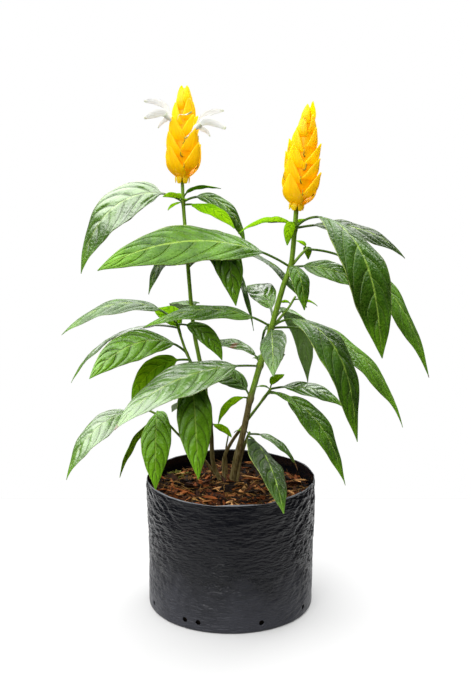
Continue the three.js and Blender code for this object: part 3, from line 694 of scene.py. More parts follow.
def shreds(count, seed, lengths, width_share, thickness, curl, rings=5, sides=4, lift=0.6, reach=88.0):
    """Bent strips of bark or fibre that lie on the mulch, all in one shape, and their values per vertex:
    two random numbers of the strip, and the share of its length.

    Each is a tube of few sides along an arc. Its half-width swells as sin(pi s)^0.5 and is ragged, and the
    whole is turned, tilted and set on the surface. Lengths follow a power of a random number, so that
    small ones are many, and nothing reaches past the bag's inner face.
    """
    x, y, random = scattered(count, seed, reach)
    length = lengths[0] + (lengths[1] - lengths[0]) * random.random(count) ** 2.2
    width = np.clip(length * width_share * (0.6 + 0.8 * random.random(count)), 0.5, 6)
    thick = thickness * (0.5 + random.random(count))
    x, y, length, width, thick = (array[:, None, None] for array in (x, y, length, width, thick))
    s = np.linspace(0, 1, rings)[None, :, None]
    phase = (2 * np.pi * (np.arange(sides) + 0.5) / sides)[None, None, :]
    swell = np.maximum(np.sin(np.pi * s), 0) ** 0.5 * 0.85 + 0.15
    ragged = 1 + 0.3 * (random.random((count, rings, sides)) - 0.5)
    bend = curl * (random.random((count, 1, 1)) - 0.5) * 2
    bow = bend * length * (0.25 - (s - 0.5) ** 2)
    along = length * (s - 0.5) + 0 * phase
    across = width / 2 * swell * np.cos(phase) * ragged + bow
    up = thick / 2 * swell * np.sin(phase) + 0.4 * bow
    yaw = 2 * np.pi * random.random((count, 1, 1))
    pitch = np.radians(SHRED_PITCH_DEGREES) * (random.random((count, 1, 1)) - 0.5) * 2
    roll = np.radians(SHRED_ROLL_DEGREES) * (random.random((count, 1, 1)) - 0.5) * 2
    across, up = turned(across, up, roll)
    along, up = turned(along, up, pitch)
    along, across = turned(along, across, yaw)
    up = up + mulch_top(x, y) + lift * (0.2 + random.random(count))[:, None, None]
    reached = np.hypot(x + along, y + across)
    kept = np.minimum(1, (BAG_RADIUS - SHRED_GAP) / np.maximum(reached, 1))
    points = np.stack([(x + along) * kept, (y + across) * kept, up], axis=-1).reshape(-1, 3)
    first = (np.arange(count) * rings * sides)[:, None, None]
    walls = (tube_faces(rings, sides)[None] + first).reshape(-1, 4)
    ring = np.arange(sides)
    foot = (ring[::-1][None, None] + first).reshape(-1, sides)
    head = ((rings - 1) * sides + ring[None, None] + first).reshape(-1, sides)
    tint = np.repeat(random.random((count, 2)), rings * sides, axis=0)
    share = np.tile(np.repeat(s.ravel(), sides), count)
    return (points, [walls, foot, head]), np.column_stack([tint, share])


def stem_tube(stem, sides=20):
    """A stem: rings across its curve. The radius narrows from foot to top, swells by a bell at each node
    and has four soft ridges. Returns the shape and, per vertex, the brown share, the nearness to a node
    and the angle round the stem."""
    spec = STEMS[stem]
    bottom, top = spec["points"][0][2], spec["points"][-1][2]
    heights = np.linspace(bottom, top, max(8, int((top - bottom) / STEM_STEP)))
    points, tangents, shares = stem_places(stem, heights)
    if bottom == MULCH_HEIGHT:
        buried = points[:1] - [[0, 0, STEM_FOOT]]
        points, tangents = np.vstack([buried, points]), np.vstack([UP[None], tangents])
        shares, heights = np.insert(shares, 0, 0), np.insert(heights, 0, bottom - STEM_FOOT)
    side = normalised(np.cross(AWAY, tangents))[:, None]
    out = np.cross(tangents, side[:, 0])[:, None]
    distances = [np.abs(heights - node) for node in spec["nodes"]]
    nearest = np.min([np.full(len(heights), FAR_FROM_NODES), *distances], axis=0)
    angle = (2 * np.pi * np.arange(sides) / sides)[None, :]
    swollen = 1 + 0.32 * hump(nearest, 3.2) - 0.1 * hump(nearest, 0.7)
    radius = np.interp(shares, [0, 1], spec["radii"]) * swollen
    ridged = 1 + 0.045 * np.cos(4 * angle) * smoothstep(0.1, 0.5, shares)[:, None]
    knobbly = 0.05 * smooth_noise(heights[:, None] / 6, 3 * angle / np.pi + 9, 41, 6)
    reach = (radius[:, None] * (ridged + knobbly))[..., None]
    rings = points[:, None] + reach * (np.cos(angle)[..., None] * side + np.sin(angle)[..., None] * out)
    brown = 1 - smoothstep(spec["brown"] - 35, spec["brown"] + 35, heights)
    return closed_tube(rings), ring_values(brown[:, None], hump(nearest, 2.5)[:, None], angle)


def leaf_outline(along):
    """Half-width of a leaf along its blade: s^0.85 (1 - s)^1.15, scaled to 1 at its widest place."""
    def outline(s):
        return np.clip(s, 0, 1) ** 0.85 * np.clip(1 - s, 0, 1) ** 1.15

    return outline(along) / outline(LEAF_WIDEST)


def leaf_midrib(row):
    """Functions of a leaf row: the midrib's point and the frame (side, out) at shares of its length.

    The habit's rise at share s is (1 - 2s)(base (1 - s) - tip s) + 4 middle s (1 - s), and the midrib adds
    up short steps in the direction that this and the azimuth give.
    """
    stem, height, azimuth, length, habit, roll, twist = row
    base, middle, tip = HABITS[habit]
    around = np.radians(azimuth)

    def direction(s):
        rise = np.radians((1 - 2 * s) * (base * (1 - s) - tip * s) + 4 * middle * s * (1 - s))
        level = np.cos(rise)
        return np.stack([level * np.cos(around), level * np.sin(around), np.sin(rise)], axis=-1)

    steps = direction((np.arange(MIDRIB_STEPS) + 0.5) / MIDRIB_STEPS) * length / MIDRIB_STEPS
    origin = stem_places(stem, [height])[0]
    path = np.vstack([origin, origin + np.cumsum(steps, axis=0)])
    knots = np.linspace(0, 1, MIDRIB_STEPS + 1)

    def point(s):
        return np.stack([np.interp(s, knots, path[:, axis]) for axis in range(3)], axis=-1)

    def frame_at(s):
        tangent = direction(s)
        level = np.array([[-np.sin(around), np.cos(around), 0.0]])
        above = np.cross(tangent, level)
        angle = np.radians(roll + twist * (s - 0.5))[:, None]
        side = level * np.cos(angle) + above * np.sin(angle)
        return side, np.cross(tangent, side)

    return point, frame_at


def vein_phase(across, along, pairs):
    """Counts the side veins: whole numbers on a vein. One that leaves the midrib at s reaches the share u
    of the half-width at s + sweep * u * (1 - bend + bend u^2)."""
    u = np.abs(across)
    return pairs * (along - VEIN_SWEEP * u * (1 - VEIN_BEND + VEIN_BEND * u * u))


def leaf_shape(row, settings, seed, stations=90, columns=37, petiole_rings=8):
    """A leaf: one closed tube whose rings are circles on the stalk and flat loops across the blade.

    A loop runs over the upper face from u = 1 to u = -1 and back under the lower face. Across the blade
    the point lies half-width * u to the side and, out of the blade, the sum of
    - the fold: half-width * sin(fold) * (0.6 |u| + 0.4 u^2);
    - the wave of the margins, as in the solid, times u^2;
    - quilting: |sin(pi phase)|^0.6 between the side veins, full inside and none at the margin;
    - the midrib: a groove above and a rib below, each a bell across;
    - half the thickness, up on the upper face and down on the lower.

    Returns the shape, per vertex across, along and face, and the number of pairs of side veins.
    """
    azimuth, length = row[2:4]
    width = LEAF_WIDTH_SHARE * length
    point, frame_at = leaf_midrib(row)
    fold = np.radians(LEAF_FOLD_DEGREES)
    pairs = FEWEST_PAIRS + length / LENGTH_PER_PAIR
    stalk = min(PETIOLE_RADIUS, STALK_START + length / LENGTH_PER_STALK)
    along = np.concatenate([
        np.linspace(-1, 0, petiole_rings + 1)[:-1],
        1 - np.cos(np.linspace(0, np.pi, stations)) / 2 - 0.5,
    ])
    share = np.where(along < 0, PETIOLE_SHARE * (1 + along), PETIOLE_SHARE + (1 - PETIOLE_SHARE) * along)
    blade_along = np.clip(along, 0, 1)[:, None]
    u, face = both_faces(np.linspace(1, -1, columns))
    rimmed = 1 - np.abs(u) ** 8
    outline = leaf_outline(blade_along)
    phase = vein_phase(u, blade_along, pairs) + np.where(u < 0, VEIN_STAGGER, 0)
    scallop = 1 + SCALLOP * np.cos(2 * np.pi * phase)
    half = (width / 2 * outline + LEAF_MARGIN) * scallop
    rate, other_rate = WAVE_RATES
    sway = np.where(u > 0, np.sin(blade_along * rate + azimuth), np.sin(blade_along * other_rate + length))
    waves = sway * (EDGE_WAVE * width * outline)
    mottle = smooth_noise(4 * u + 20 + seed, length / 9 * blade_along + 0 * u, 51)
    inner = smoothstep(0, 0.1, np.abs(u)) * (1 - np.abs(u) ** 4)
    depth = settings.quilting / MM * np.minimum(1, half / FULL_QUILT_WIDTH) * (1 + QUILT_MOTTLE * mottle)
    quilt = depth * (np.abs(np.sin(np.pi * phase)) ** 0.6 - 0.7) * inner * smoothstep(0, 0.1, blade_along)
    quilt = quilt * (1 - 0.7 * smoothstep(0.85, 1, blade_along))
    thick = settings.thickness / MM / 2
    rib = thick + (stalk - thick) * (1 - blade_along) * 0.8
    from_midrib = hump(half * u, 1.3)
    ribbed = np.where(face > 0, -0.3, -1.0) * rib * from_midrib
    lift = half * np.sin(fold) * (0.6 * np.abs(u) + 0.4 * u * u) + waves * u * u + quilt
    lift = lift + ribbed + face * thick * rimmed
    circle = 2 * np.pi * np.arange(u.size)[None, :] / u.size
    blended = smoothstep(0, 0.07, along)[:, None]
    across = blended * half * u * np.cos(fold) + (1 - blended) * stalk * np.cos(circle)
    lift = blended * lift + (1 - blended) * stalk * np.sin(circle)
    side, out = frame_at(share)
    rings = point(share)[:, None] + across[..., None] * side[:, None] + lift[..., None] * out[:, None]
    return closed_tube(rings), ring_values(u, along[:, None], face), pairs


def dried(name, blade):
    """How dry each point of a leaf is, from 0 to 1: full round each dried place, with a ragged edge."""
    dry = np.zeros(len(blade))
    for across, along, reach_across, reach_along in DRY_PLACES.get(name, ()):
        ragged = 0.35 * smooth_noise(blade[:, 0] * 6 + 20, blade[:, 1] * 40, 52)
        distance = np.hypot((blade[:, 0] - across) / reach_across, (blade[:, 1] - along) / reach_along)
        dry = np.maximum(dry, 1 - smoothstep(0.7, 1.1, distance + ragged))
    return dry


def spike_outline(along):
    """The spike's radius along its axis: it swells over the lowest bracts, then narrows to a blunt tip."""
    return (0.85 + 0.15 * np.minimum(1, along / 0.15)) * (1 - 0.6 * along ** 1.8)


def bract_outline(along):
    """A bract's half-width: (s + 0.03)^0.5 (1 - s)^0.95, scaled to 1 at its widest place."""
    return (along + 0.03) ** 0.5 * np.clip(1 - along, 0, 1) ** 0.95 / BRACT_PEAK


def random_numbers(seed):
    """The seeded numbers from 0 to 1 that place the bracts in the solid, so that these lie on those."""
    state = seed
    while True:
        state = (state * RANDOM_FACTOR + RANDOM_STEP) % RANDOM_PERIOD
        yield state / RANDOM_PERIOD


def spike_frame(spec):
    """The spike's place in space: a function from (angle, out, up) about its axis to points."""
    start, axis = np.array(spec["foot"], float), np.subtract(spec["tip"], spec["foot"]).astype(float)
    height = np.linalg.norm(axis)
    axis = axis / height
    across = normalised(np.cross(AWAY, axis))
    around = np.cross(axis, across)

    def place(angle, out, up):
        angle, out, up = np.broadcast_arrays(angle, out, up)
        flat = out[..., None] * (np.cos(angle)[..., None] * across + np.sin(angle)[..., None] * around)
        return start + up[..., None] * axis + flat

    return place, height


def bract_shape(place, height, level, size, reach, length, angle, settings):
    """A bract: a thin closed loop across, carried along its midrib from the core up and out.

    Out from the axis it runs from 1 mm to its reach by a sine, then flares by s^2.5, or closes by s^3 near
    the spike's tip, where it is slender too, and it runs up by s^1.5 of its length. Across, it clasps the
    spike by an angle of half-width / distance, its edges bend in by 7% and roll back out at the very
    margin, and its foot hangs in two lobes, u^2 (1 - s)^2. Ribs, a cosine across, run from base to tip,
    the midrib is a keel and the margins ruffle by a sine along. Returns its rings and the places across
    and along them.
    """
    s = np.linspace(0, 1, BRACT_ROWS)[:, None] ** 0.9
    u, face = both_faces(np.linspace(-1, 1, BRACT_COLUMNS))
    closing = smoothstep(0.3, 0.75, level)

    def out_at(share):
        rising = (reach - 1) * np.sin(np.pi / 2 * np.minimum(1, share * 1.4)) ** 0.8
        return 1 + rising + (1 - closing) * BRACT_FLARE * share ** 2.5 - closing * 0.55 * reach * share ** 3

    def up_at(share):
        return level * height - 3 + length * share ** 1.5

    before, after = np.maximum(0, s - 0.1), np.minimum(1, s + 0.1)
    slope = np.arctan2(up_at(after) - up_at(before), out_at(after) - out_at(before))
    slender = 1 - 0.42 * smoothstep(0.35, 0.8, level)
    half = BRACT_WIDTH / 2 * size * slender * bract_outline(s) ** (1 - 0.3 * closing) + BRACT_MARGIN
    out = out_at(s)
    spread = np.minimum(WIDEST_CLASP, half / np.maximum(out, 4))
    bend = 1 - 0.07 * np.abs(u) ** 1.6 + 0.012 * smoothstep(0.82, 1, np.abs(u)) * smoothstep(0.1, 0.4, s)
    ribs = 0.12 * np.cos(7 * np.pi * u) * smoothstep(0.05, 0.2, s) * (1 - smoothstep(0.8, 1, s))
    keel = 0.45 * hump(u * half, 1.1) * smoothstep(0.1, 0.5, s)
    ruffle = 0.35 * np.sin(9 * s + 5 * level + 2 * np.sign(u)) * u ** 4 * smoothstep(0.1, 0.4, s)
    thick = settings.thickness / MM / 2 * (1 - 0.6 * u ** 8)
    offset = face * thick + ribs + keel + ruffle
    hanging = 4.0 * size * u * u * (1 - s) ** 2 * (1 - closing)
    up = up_at(s) - hanging - offset * np.cos(slope)
    return place(angle + u * spread, out * bend + offset * np.sin(slope), up), u, s


def spike_shape(spec, settings):
    """A spike: a core that narrows to both ends, bracts in crossed pairs up it, drawn in the solid's
    random order, and small lobes that spread below it.

    Returns vertices, faces and, per vertex, across and along its bract and a number for each pair.
    """
    place, height = spike_frame(spec)
    numbers = random_numbers(spec["seed"])
    radius, pairs = spec["radius"], spec["pairs"]
    rise = np.linspace(0, 0.97, CORE_SIDES)[:, None]
    around = np.linspace(0, 2 * np.pi, CORE_SIDES, endpoint=False)[None, :]
    narrowed = (0.4 + 0.6 * np.minimum(1, rise / 0.12)) * (1 - rise ** 5)
    core = place(around, CORE_SHARE * radius * spike_outline(rise) * narrowed, rise * height)
    shapes = [(closed_tube(core), ring_values(0 * core[..., 0], 0.0, 0.0))]
    for pair in range(pairs):
        level = 0.8 * (pair + 0.3 - 0.4 * (pair % 2)) / (pairs - 0.7)
        size = 1 - 0.3 * level ** 1.6
        for facing in (0, 180):
            angle = np.radians(spec["turn"] + 90 * pair + facing + 24 * (next(numbers) - 0.5))
            reach = radius * spike_outline(level + 0.16) * (0.9 + 0.1 * next(numbers))
            length = (BRACT_LENGTH + 5 * (next(numbers) - 0.5)) * size
            rings, u, s = bract_shape(place, height, level, size, reach, length, angle, settings)
            shapes.append((closed_tube(rings), ring_values(u, s, 0.13 * pair % 1.0)))
    for lobe in range(FOOT_LOBES):
        angle = np.radians(spec["turn"] + 15 + 360 / FOOT_LOBES * lobe)
        outward_up = place(angle, 1.0, 1.0) - place(angle, 0.0, 0.0)
        shape, values = petal_shape(place(angle, LOBE_OUT, LOBE_UP), LOBE_WIDTHS, 0.3, outward_up)
        shapes.append((shape, values + [0, 0, 0.5]))
    return merged_with_values(shapes)


def calyx_shape(spec):
    """The green remains of flowers that show along the four seams between the rows of bracts: threads
    that stand out of each seam at even steps up the lower half of the spike."""
    place, height = spike_frame(spec)
    parts, levels = [], np.arange(0.08, 0.5, CALYX_STEP / height)
    for side in range(4):
        angle = np.radians(spec["turn"] + 45 + 90 * side)
        for index, level in enumerate(levels):
            leaning = angle + 0.12 * np.sin(3.1 * index + side)
            out = spec["radius"] * spike_outline(level) * CALYX_OUT
            path = place(np.array([angle, leaning, leaning]), out, level * height + CALYX_UP)
            parts.append(thread_shape(path, CALYX_RADII, 7, 6)[0])
    return merged(parts)


def petal_shape(points, widths, fold, facing, rows=26, columns=15):
    """A petal: a thin closed loop across, carried along a path. The half-width is the smooth curve through
    the given ones, and the two halves are folded up and cupped."""
    s = np.linspace(0, 1, rows)
    centre, tangent = curve_points(points, s)
    side = normalised(np.cross(tangent, facing))[:, None]
    out = np.cross(tangent, side[:, 0])[:, None]
    fitted = np.polynomial.Polynomial.fit(np.linspace(0, 1, len(widths)), widths, len(widths) - 1)
    half = np.maximum(fitted(s), 0.3)[:, None]
    u, face = both_faces(np.linspace(1, -1, columns))
    veins = 0.07 * np.cos(5 * np.pi * u) * (1 - u ** 4)
    lift = half * np.sin(fold) * u * u + face * PETAL_HALF_THICKNESS * (1 - 0.7 * u ** 8) + veins
    across = half * np.cos(fold) * u
    rings = centre[:, None] + across[..., None] * side + lift[..., None] * out
    return closed_tube(rings), ring_values(u, s[:, None], 0.0)


def thread_shape(points, radii, rows=24, sides=8):
    """A round thread along a smooth curve, its radius read between the given ones."""
    s = np.linspace(0, 1, rows)
    centre, tangent = curve_points(points, s)
    side = normalised(np.cross(tangent, ASLANT))[:, None]
    out = np.cross(tangent, side[:, 0])[:, None]
    radius = np.interp(s, np.linspace(0, 1, len(radii)), radii)[:, None, None]
    angle = (2 * np.pi * np.arange(sides) / sides)[None, :, None]
    rings = centre[:, None] + radius * (np.cos(angle) * side + np.sin(angle) * out)
    return closed_tube(rings), ring_values(0 * angle[..., 0], s[:, None], 0.0)


def add(tree, kind, out=0, inputs=None, stops=None, **settings):
    """Adds a node with its settings, its inputs, each a value or a socket to link from, and, for a ramp,
    its stops. Returns one of its outputs, or the node itself where out is None."""
    node = tree.nodes.new(kind)
    for key, value in settings.items():
        setattr(node, key, value)
    for key, value in (inputs or {}).items():
        if isinstance(value, bpy.types.NodeSocket):
            tree.links.new(value, node.inputs[key])
        else:
            node.inputs[key].default_value = value
    if stops:
        elements = node.color_ramp.elements
        while len(elements) < len(stops):
            elements.new(0.5)
        for element, (position, colour) in zip(elements, stops):
            element.position, element.color = position, colour
    return node if out is None else node.outputs[out]


def maths(tree, operation, *inputs):
    """One operation on numbers or sockets."""
    return add(tree, "ShaderNodeMath", inputs=dict(enumerate(inputs)), operation=operation)


def ranged(tree, value, start, end, low, high, **settings):
    """Runs from low to high while the value runs from start to end, and stays there beyond them."""
    inputs = dict(enumerate((value, start, end, low, high)))
    return add(tree, "ShaderNodeMapRange", inputs=inputs, **settings)


def mixed(tree, share, first, second):
    """A colour between the first, at a share of 0, and the second, at 1."""
    return add(tree, "ShaderNodeMix", out=2, inputs={0: share, 6: first, 7: second}, data_type="RGBA")


def ramp(tree, value, *stops):
    """A colour read at a value between stops, each a position and a colour."""
    return add(tree, "ShaderNodeValToRGB", inputs={0: value}, stops=stops)


def per_metre(millimetres):
    """The scale of a pattern whose features are that many millimetres apart."""
    return 1 / (millimetres * MM)


def noise(tree, place, millimetres, detail=2.0, roughness=0.5, out=0):
    """Noise whose features are that many millimetres apart."""
    return add(tree, "ShaderNodeTexNoise", out=out, inputs={
        "Vector": place, "Scale": per_metre(millimetres), "Detail": detail, "Roughness": roughness})


def cells(tree, place, millimetres):
    """The distance to the nearest border between cells that are that many millimetres apart."""
    return add(tree, "ShaderNodeTexVoronoi", feature="DISTANCE_TO_EDGE", inputs={
        "Vector": place, "Scale": per_metre(millimetres)})


def object_place(tree):
    """The place on the object, in metres."""
    return add(tree, "ShaderNodeTexCoord", out="Object")


def split(tree, vector):
    """The three parts of a vector, as sockets."""
    return add(tree, "ShaderNodeSeparateXYZ", out=None, inputs={0: vector}).outputs


def attribute_parts(tree, name):
    """The three values that a mesh has for each vertex under that name, as sockets."""
    return split(tree, add(tree, "ShaderNodeAttribute", out="Vector", attribute_name=name))


def new_finish(name, values):
    """A material with one principled shader, its plain values set on the shader's own sockets. Returns the
    material, its node tree and the shader."""
    material = bpy.data.materials.new(name)
    material.use_nodes = True
    tree = material.node_tree
    tree.nodes.clear()
    surface = add(tree, "ShaderNodeBsdfPrincipled", out=None, inputs=values)
    add(tree, "ShaderNodeOutputMaterial", out=None, inputs={"Surface": surface.outputs[0]})
    return material, tree, surface


def raise_surface(tree, surface, height, strength, millimetres):
    """Lets a height bend the shader's normals, where a height of 1 stands that many millimetres up."""
    relief = add(tree, "ShaderNodeBump", out="Normal", inputs={
        "Height": height, "Strength": strength, "Distance": millimetres * MM})
    tree.links.new(relief, surface.inputs["Normal"])


def leaf_finish(name, leaf, greens, gloss, coat, coat_index=1.5):
    """Waxy leaf of the acanthus family: deep green above with paler veins and painted shade in the grooves
    beside them, matt and pale below.

    The greens are the darker and the lighter one of the blade, that of the veins and that of the under
    face. Veins and margin are drawn from the "blade" attribute (across, along, face) and the "growth"
    attribute (pairs of side veins, dryness, tone). The fine net between the veins is a cell pattern.
    """
    dark, light, pale, under = greens
    material, tree, surface = new_finish(name, {
        "IOR": 1.5, "Specular IOR Level": gloss, "Sheen Weight": leaf.sheen, "Sheen Roughness": 0.4,
        "Coat Weight": coat, "Coat IOR": coat_index, "Coat Roughness": 0.25})
    place = object_place(tree)
    side, along, face = attribute_parts(tree, "blade")
    pairs, dryness, tone = attribute_parts(tree, "growth")
    across = maths(tree, "ABSOLUTE", side)
    squared = maths(tree, "MULTIPLY", across, across)
    bent = maths(tree, "MULTIPLY_ADD", squared, -VEIN_SWEEP * VEIN_BEND, -VEIN_SWEEP * (1 - VEIN_BEND))
    reached = maths(tree, "MULTIPLY_ADD", across, bent, along)
    counted = maths(tree, "MULTIPLY", reached, pairs)
    left = maths(tree, "LESS_THAN", side, 0.0)
    phase = maths(tree, "MULTIPLY_ADD", left, VEIN_STAGGER, counted)
    distance = maths(tree, "PINGPONG", phase, 0.5)
    on_blade = ranged(tree, along, 0.0, 0.06, 0.0, 1.0)
    side_vein = ranged(tree, distance, 0.055, 0.012, 0.0, on_blade)
    midrib = ranged(tree, across, 0.06, 0.025, 0.0, 1.0)

    patches = noise(tree, place, 28, 3.0, 0.6)
    toned = maths(tree, "ADD", patches, tone)
    fresh = maths(tree, "ADD", toned, ranged(tree, along, 0.72, 1.0, 0.0, 0.5))
    # The darkest stop, below the dark green, is reached by leaves whose tone is set below zero: partly
    # painted shade.
    darkest = (dark[0] * 0.35, dark[1] * 0.35, dark[2] * 0.35, 1.0)
    green = ramp(tree, fresh, (0.0, darkest), (0.3, dark), (0.72, light), (1.0, linear("#6aa018")))
    net = cells(tree, place, 2.6)
    netted = mixed(tree, ranged(tree, net, 0.0, 0.12, 0.15, 0.0), green, pale)
    # Painted shade: close to each side vein the blade turns towards its dark green, where the quilting
    # sinks into a groove.
    painted_groove_shade = ranged(tree, distance, 0.1, 0.02, 0.0, on_blade)
    groove_shaded = mixed(tree, maths(tree, "MULTIPLY", painted_groove_shade, 0.75), netted, dark)
    lined = maths(tree, "MULTIPLY", side_vein, 0.35)
    faint = maths(tree, "MULTIPLY", maths(tree, "MAXIMUM", midrib, lined), 0.65)
    veined = mixed(tree, faint, groove_shaded, pale)
    back_share = maths(tree, "MULTIPLY", maths(tree, "LESS_THAN", face, 0.0), 0.75)
    backed = mixed(tree, back_share, veined, under)
    edged = mixed(tree, ranged(tree, across, 0.955, 0.985, 0.0, 0.8), backed, linear("#a9bd62"))
    stalked = mixed(tree, ranged(tree, along, 0.03, -0.04, 0.0, 0.9), edged, linear("#4f7018"))
    brown = ramp(tree, patches, (0.35, linear("#5a3a1c")), (0.65, linear("#9a7038")))
    tree.links.new(mixed(tree, dryness, stalked, brown), surface.inputs["Base Color"])
    matt = maths(tree, "MAXIMUM", ranged(tree, patches, 0.3, 0.7, 0.24, 0.36), back_share)
    tree.links.new(matt, surface.inputs["Roughness"])

    pillow = ranged(tree, net, 0.0, 0.35, 0.0, 0.12)
    shifted = add(tree, "ShaderNodeVectorMath", operation="MULTIPLY_ADD", inputs={
        0: noise(tree, place, 8, out=1), 1: (4 * MM, 4 * MM, 4 * MM), 2: place})
    puffed = ranged(tree, cells(tree, shifted, 5.5), 0.0, 0.4, 0.0, 0.5, interpolation_type="SMOOTHSTEP")
    groove = ranged(tree, distance, 0.0, 0.1, 0.0, 1.2, interpolation_type="SMOOTHSTEP")
    grooved = maths(tree, "ADD", maths(tree, "ADD", pillow, puffed), groove)
    raise_surface(tree, surface, maths(tree, "SUBTRACT", grooved, midrib), 0.8, 0.8)
    return material


def bract_finish(spike):
    """Fresh waxy bract: golden yellow, deeper orange at its foot, with fine ribs; light passes in, and a
    weak painted glow lifts its shade.
    """
    # Painted glow: the emission makes each bract give off a little golden light of its own, standing in for
    # light that shines through it.
    material, tree, surface = new_finish("Fresh waxy bract, golden", {
        "IOR": 1.45, "Roughness": 0.42, "Specular IOR Level": 0.25, "Subsurface Weight": 0.7,
        "Subsurface Scale": 4 * MM, "Subsurface Radius": (1.0, 0.9, 0.1),
        "Emission Strength": 0.16, "Emission Color": linear("#ffb000")})
    place = object_place(tree)
    across, along, own = attribute_parts(tree, "bract")
    shifted = maths(tree, "MULTIPLY_ADD", noise(tree, place, 9), 0.5, along)
    varied = maths(tree, "MULTIPLY_ADD", own, 0.25, shifted)
    gold = ramp(tree, varied, (0.12, linear("#d8b800")), (0.35, tuple(spike.deep)),
                (0.7, tuple(spike.gold)), (1.0, linear("#ffd21a")))
    lines = ranged(tree, maths(tree, "PINGPONG", across, 0.143), 0.0, 0.05, 0.3, 0.0)
    tree.links.new(mixed(tree, lines, gold, linear("#e09a00")), surface.inputs["Base Color"])
    raise_surface(tree, surface, noise(tree, place, 0.9), 0.2, 0.2)
    return material


def petal_finish():
    """Thin white petal: matt, faintly veined, light passes in, with a green tinge at the tip and a weak
    painted glow that lifts its shade.
    """
    # Painted glow: the petal gives off a little white light of its own, standing in for light that shines
    # through it.
    material, tree, surface = new_finish("Fresh petal, white", {
        "IOR": 1.4, "Roughness": 0.5, "Specular IOR Level": 0.3, "Subsurface Weight": 0.5,
        "Subsurface Scale": 1.5 * MM, "Subsurface Radius": (1.0, 1.0, 1.0),
        "Emission Strength": 0.1, "Emission Color": linear("#f4f6ee")})
    across, along, anther = attribute_parts(tree, "petal")
    lines = ranged(tree, maths(tree, "PINGPONG", across, 0.2), 0.0, 0.05, 0.35, 0.0)
    white = mixed(tree, lines, linear("#f4f4f0"), linear("#d6dacc"))
    tipped = mixed(tree, ranged(tree, along, 0.86, 1.0, 0.0, 0.7), white, linear("#b9c48a"))
    tree.links.new(mixed(tree, anther, tipped, linear("#8a8f3a")), surface.inputs["Base Color"])
    return material


def stem_finish(stem):
    """Half-woody stem: grey-brown bark with streaks low down, smooth olive green above, rings at nodes."""
    material, tree, surface = new_finish("Half-woody stem, bark to green", {
        "IOR": 1.45, "Specular IOR Level": 0.4})
    brown, ring, _ = attribute_parts(tree, "growth")
    drawn = add(tree, "ShaderNodeMapping", inputs={0: object_place(tree), 3: (1.0, 1.0, 0.16)})
    streaks = noise(tree, drawn, 1.6, 4.0, 0.65)
    bark = ramp(tree, streaks, (0.3, linear("#3c3018")), (0.5, tuple(stem.bark)),
                (0.72, linear("#958a68")))
    green = ramp(tree, streaks, (0.3, linear("#688a20")), (0.6, tuple(stem.green)),
                 (0.8, linear("#b4cc64")))
    ragged = maths(tree, "MULTIPLY_ADD", streaks, 0.8, brown)
    share = ranged(tree, ragged, 0.7, 1.1, 0.0, 1.0)
    ring_share = maths(tree, "MULTIPLY", ring, 0.45)
    ringed = mixed(tree, ring_share, mixed(tree, share, green, bark), linear("#6b6a24"))
    tree.links.new(ringed, surface.inputs["Base Color"])
    tree.links.new(ranged(tree, share, 0.0, 1.0, 0.4, 0.8), surface.inputs["Roughness"])
    raise_surface(tree, surface, streaks, 0.5, 0.4)
    return material


def film_finish(bag):
    """Blown polyethylene film, black: satin, scuffed grey, greyer low down where it is dusted and where a
    painted reflection of the pale floor lies, with a pale cut edge.
    """
    material, tree, surface = new_finish("Polyethylene film, blown, black", {
        "IOR": 1.51, "Specular IOR Level": 0.27})
    place = object_place(tree)
    level = split(tree, place)[2]
    clouds = noise(tree, place, 40, 5.0, 0.65)
    upright = add(tree, "ShaderNodeMapping", inputs={0: place, 3: (0.25, 0.25, 1.0)})
    scuffs = noise(tree, upright, 2.2, 3.0)
    # Painted reflection and dusting: the grey of the film rises towards the bottom, partly from dusting and
    # partly standing in for the pale floor that the film mirrors there.
    dusty_and_reflecting = maths(tree, "ADD", clouds, ranged(tree, level, 85 * MM, 0.0, -0.2, 0.6))
    black = mixed(tree, scuffs, tuple(bag.film), linear("#14151a"))
    dulled = mixed(tree, ranged(tree, dusty_and_reflecting, 0.5, 1.0, 0.0, 0.4), black, tuple(bag.dust_and_reflection))
    cut = ranged(tree, level, (BAG_HEIGHT - 2.2) * MM, (BAG_HEIGHT - 1.2) * MM, 0.0, 0.7)
    tree.links.new(mixed(tree, cut, dulled, linear("#85888c")), surface.inputs["Base Color"])
    tree.links.new(ranged(tree, dusty_and_reflecting, 0.3, 0.9, 0.2, 0.36), surface.inputs["Roughness"])
    stretched = add(tree, "ShaderNodeMapping", inputs={0: place, 2: (0.35, 0.0, 0.5), 3: (0.45, 0.45, 1.0)})
    folds = add(tree, "ShaderNodeTexNoise", noise_type="RIDGED_MULTIFRACTAL", inputs={
        "Vector": stretched, "Scale": per_metre(11), "Detail": 4.0, "Roughness": 0.6, "Lacunarity": 2.1})
    creased = maths(tree, "MULTIPLY_ADD", folds, 1.2, scuffs)
    calm = ranged(tree, level, 60 * MM, 150 * MM, 1.0, 0.3)
    raise_surface(tree, surface, maths(tree, "MULTIPLY", creased, calm), 0.9, 2.2)
    return material


def shred_finish(name, stops, roughness=0.85):
    """Shredded bark or fibre: each strip has its own tone, streaked along it, rough and matt.

    The "shred" attribute gives two random numbers of the strip and how far along it a point lies.
    """
    material, tree, surface = new_finish(name, {
        "IOR": 1.45, "Roughness": roughness, "Specular IOR Level": 0.12})
    own, _, _ = attribute_parts(tree, "shred")
    grain = noise(tree, object_place(tree), 1.4, 4.0, 0.7)
    toned = maths(tree, "MULTIPLY_ADD", grain, 0.4, own)
    colour = ramp(tree, maths(tree, "SUBTRACT", toned, 0.2), *stops)
    tree.links.new(colour, surface.inputs["Base Color"])
    raise_surface(tree, surface, grain, 0.7, 0.5)
    return material


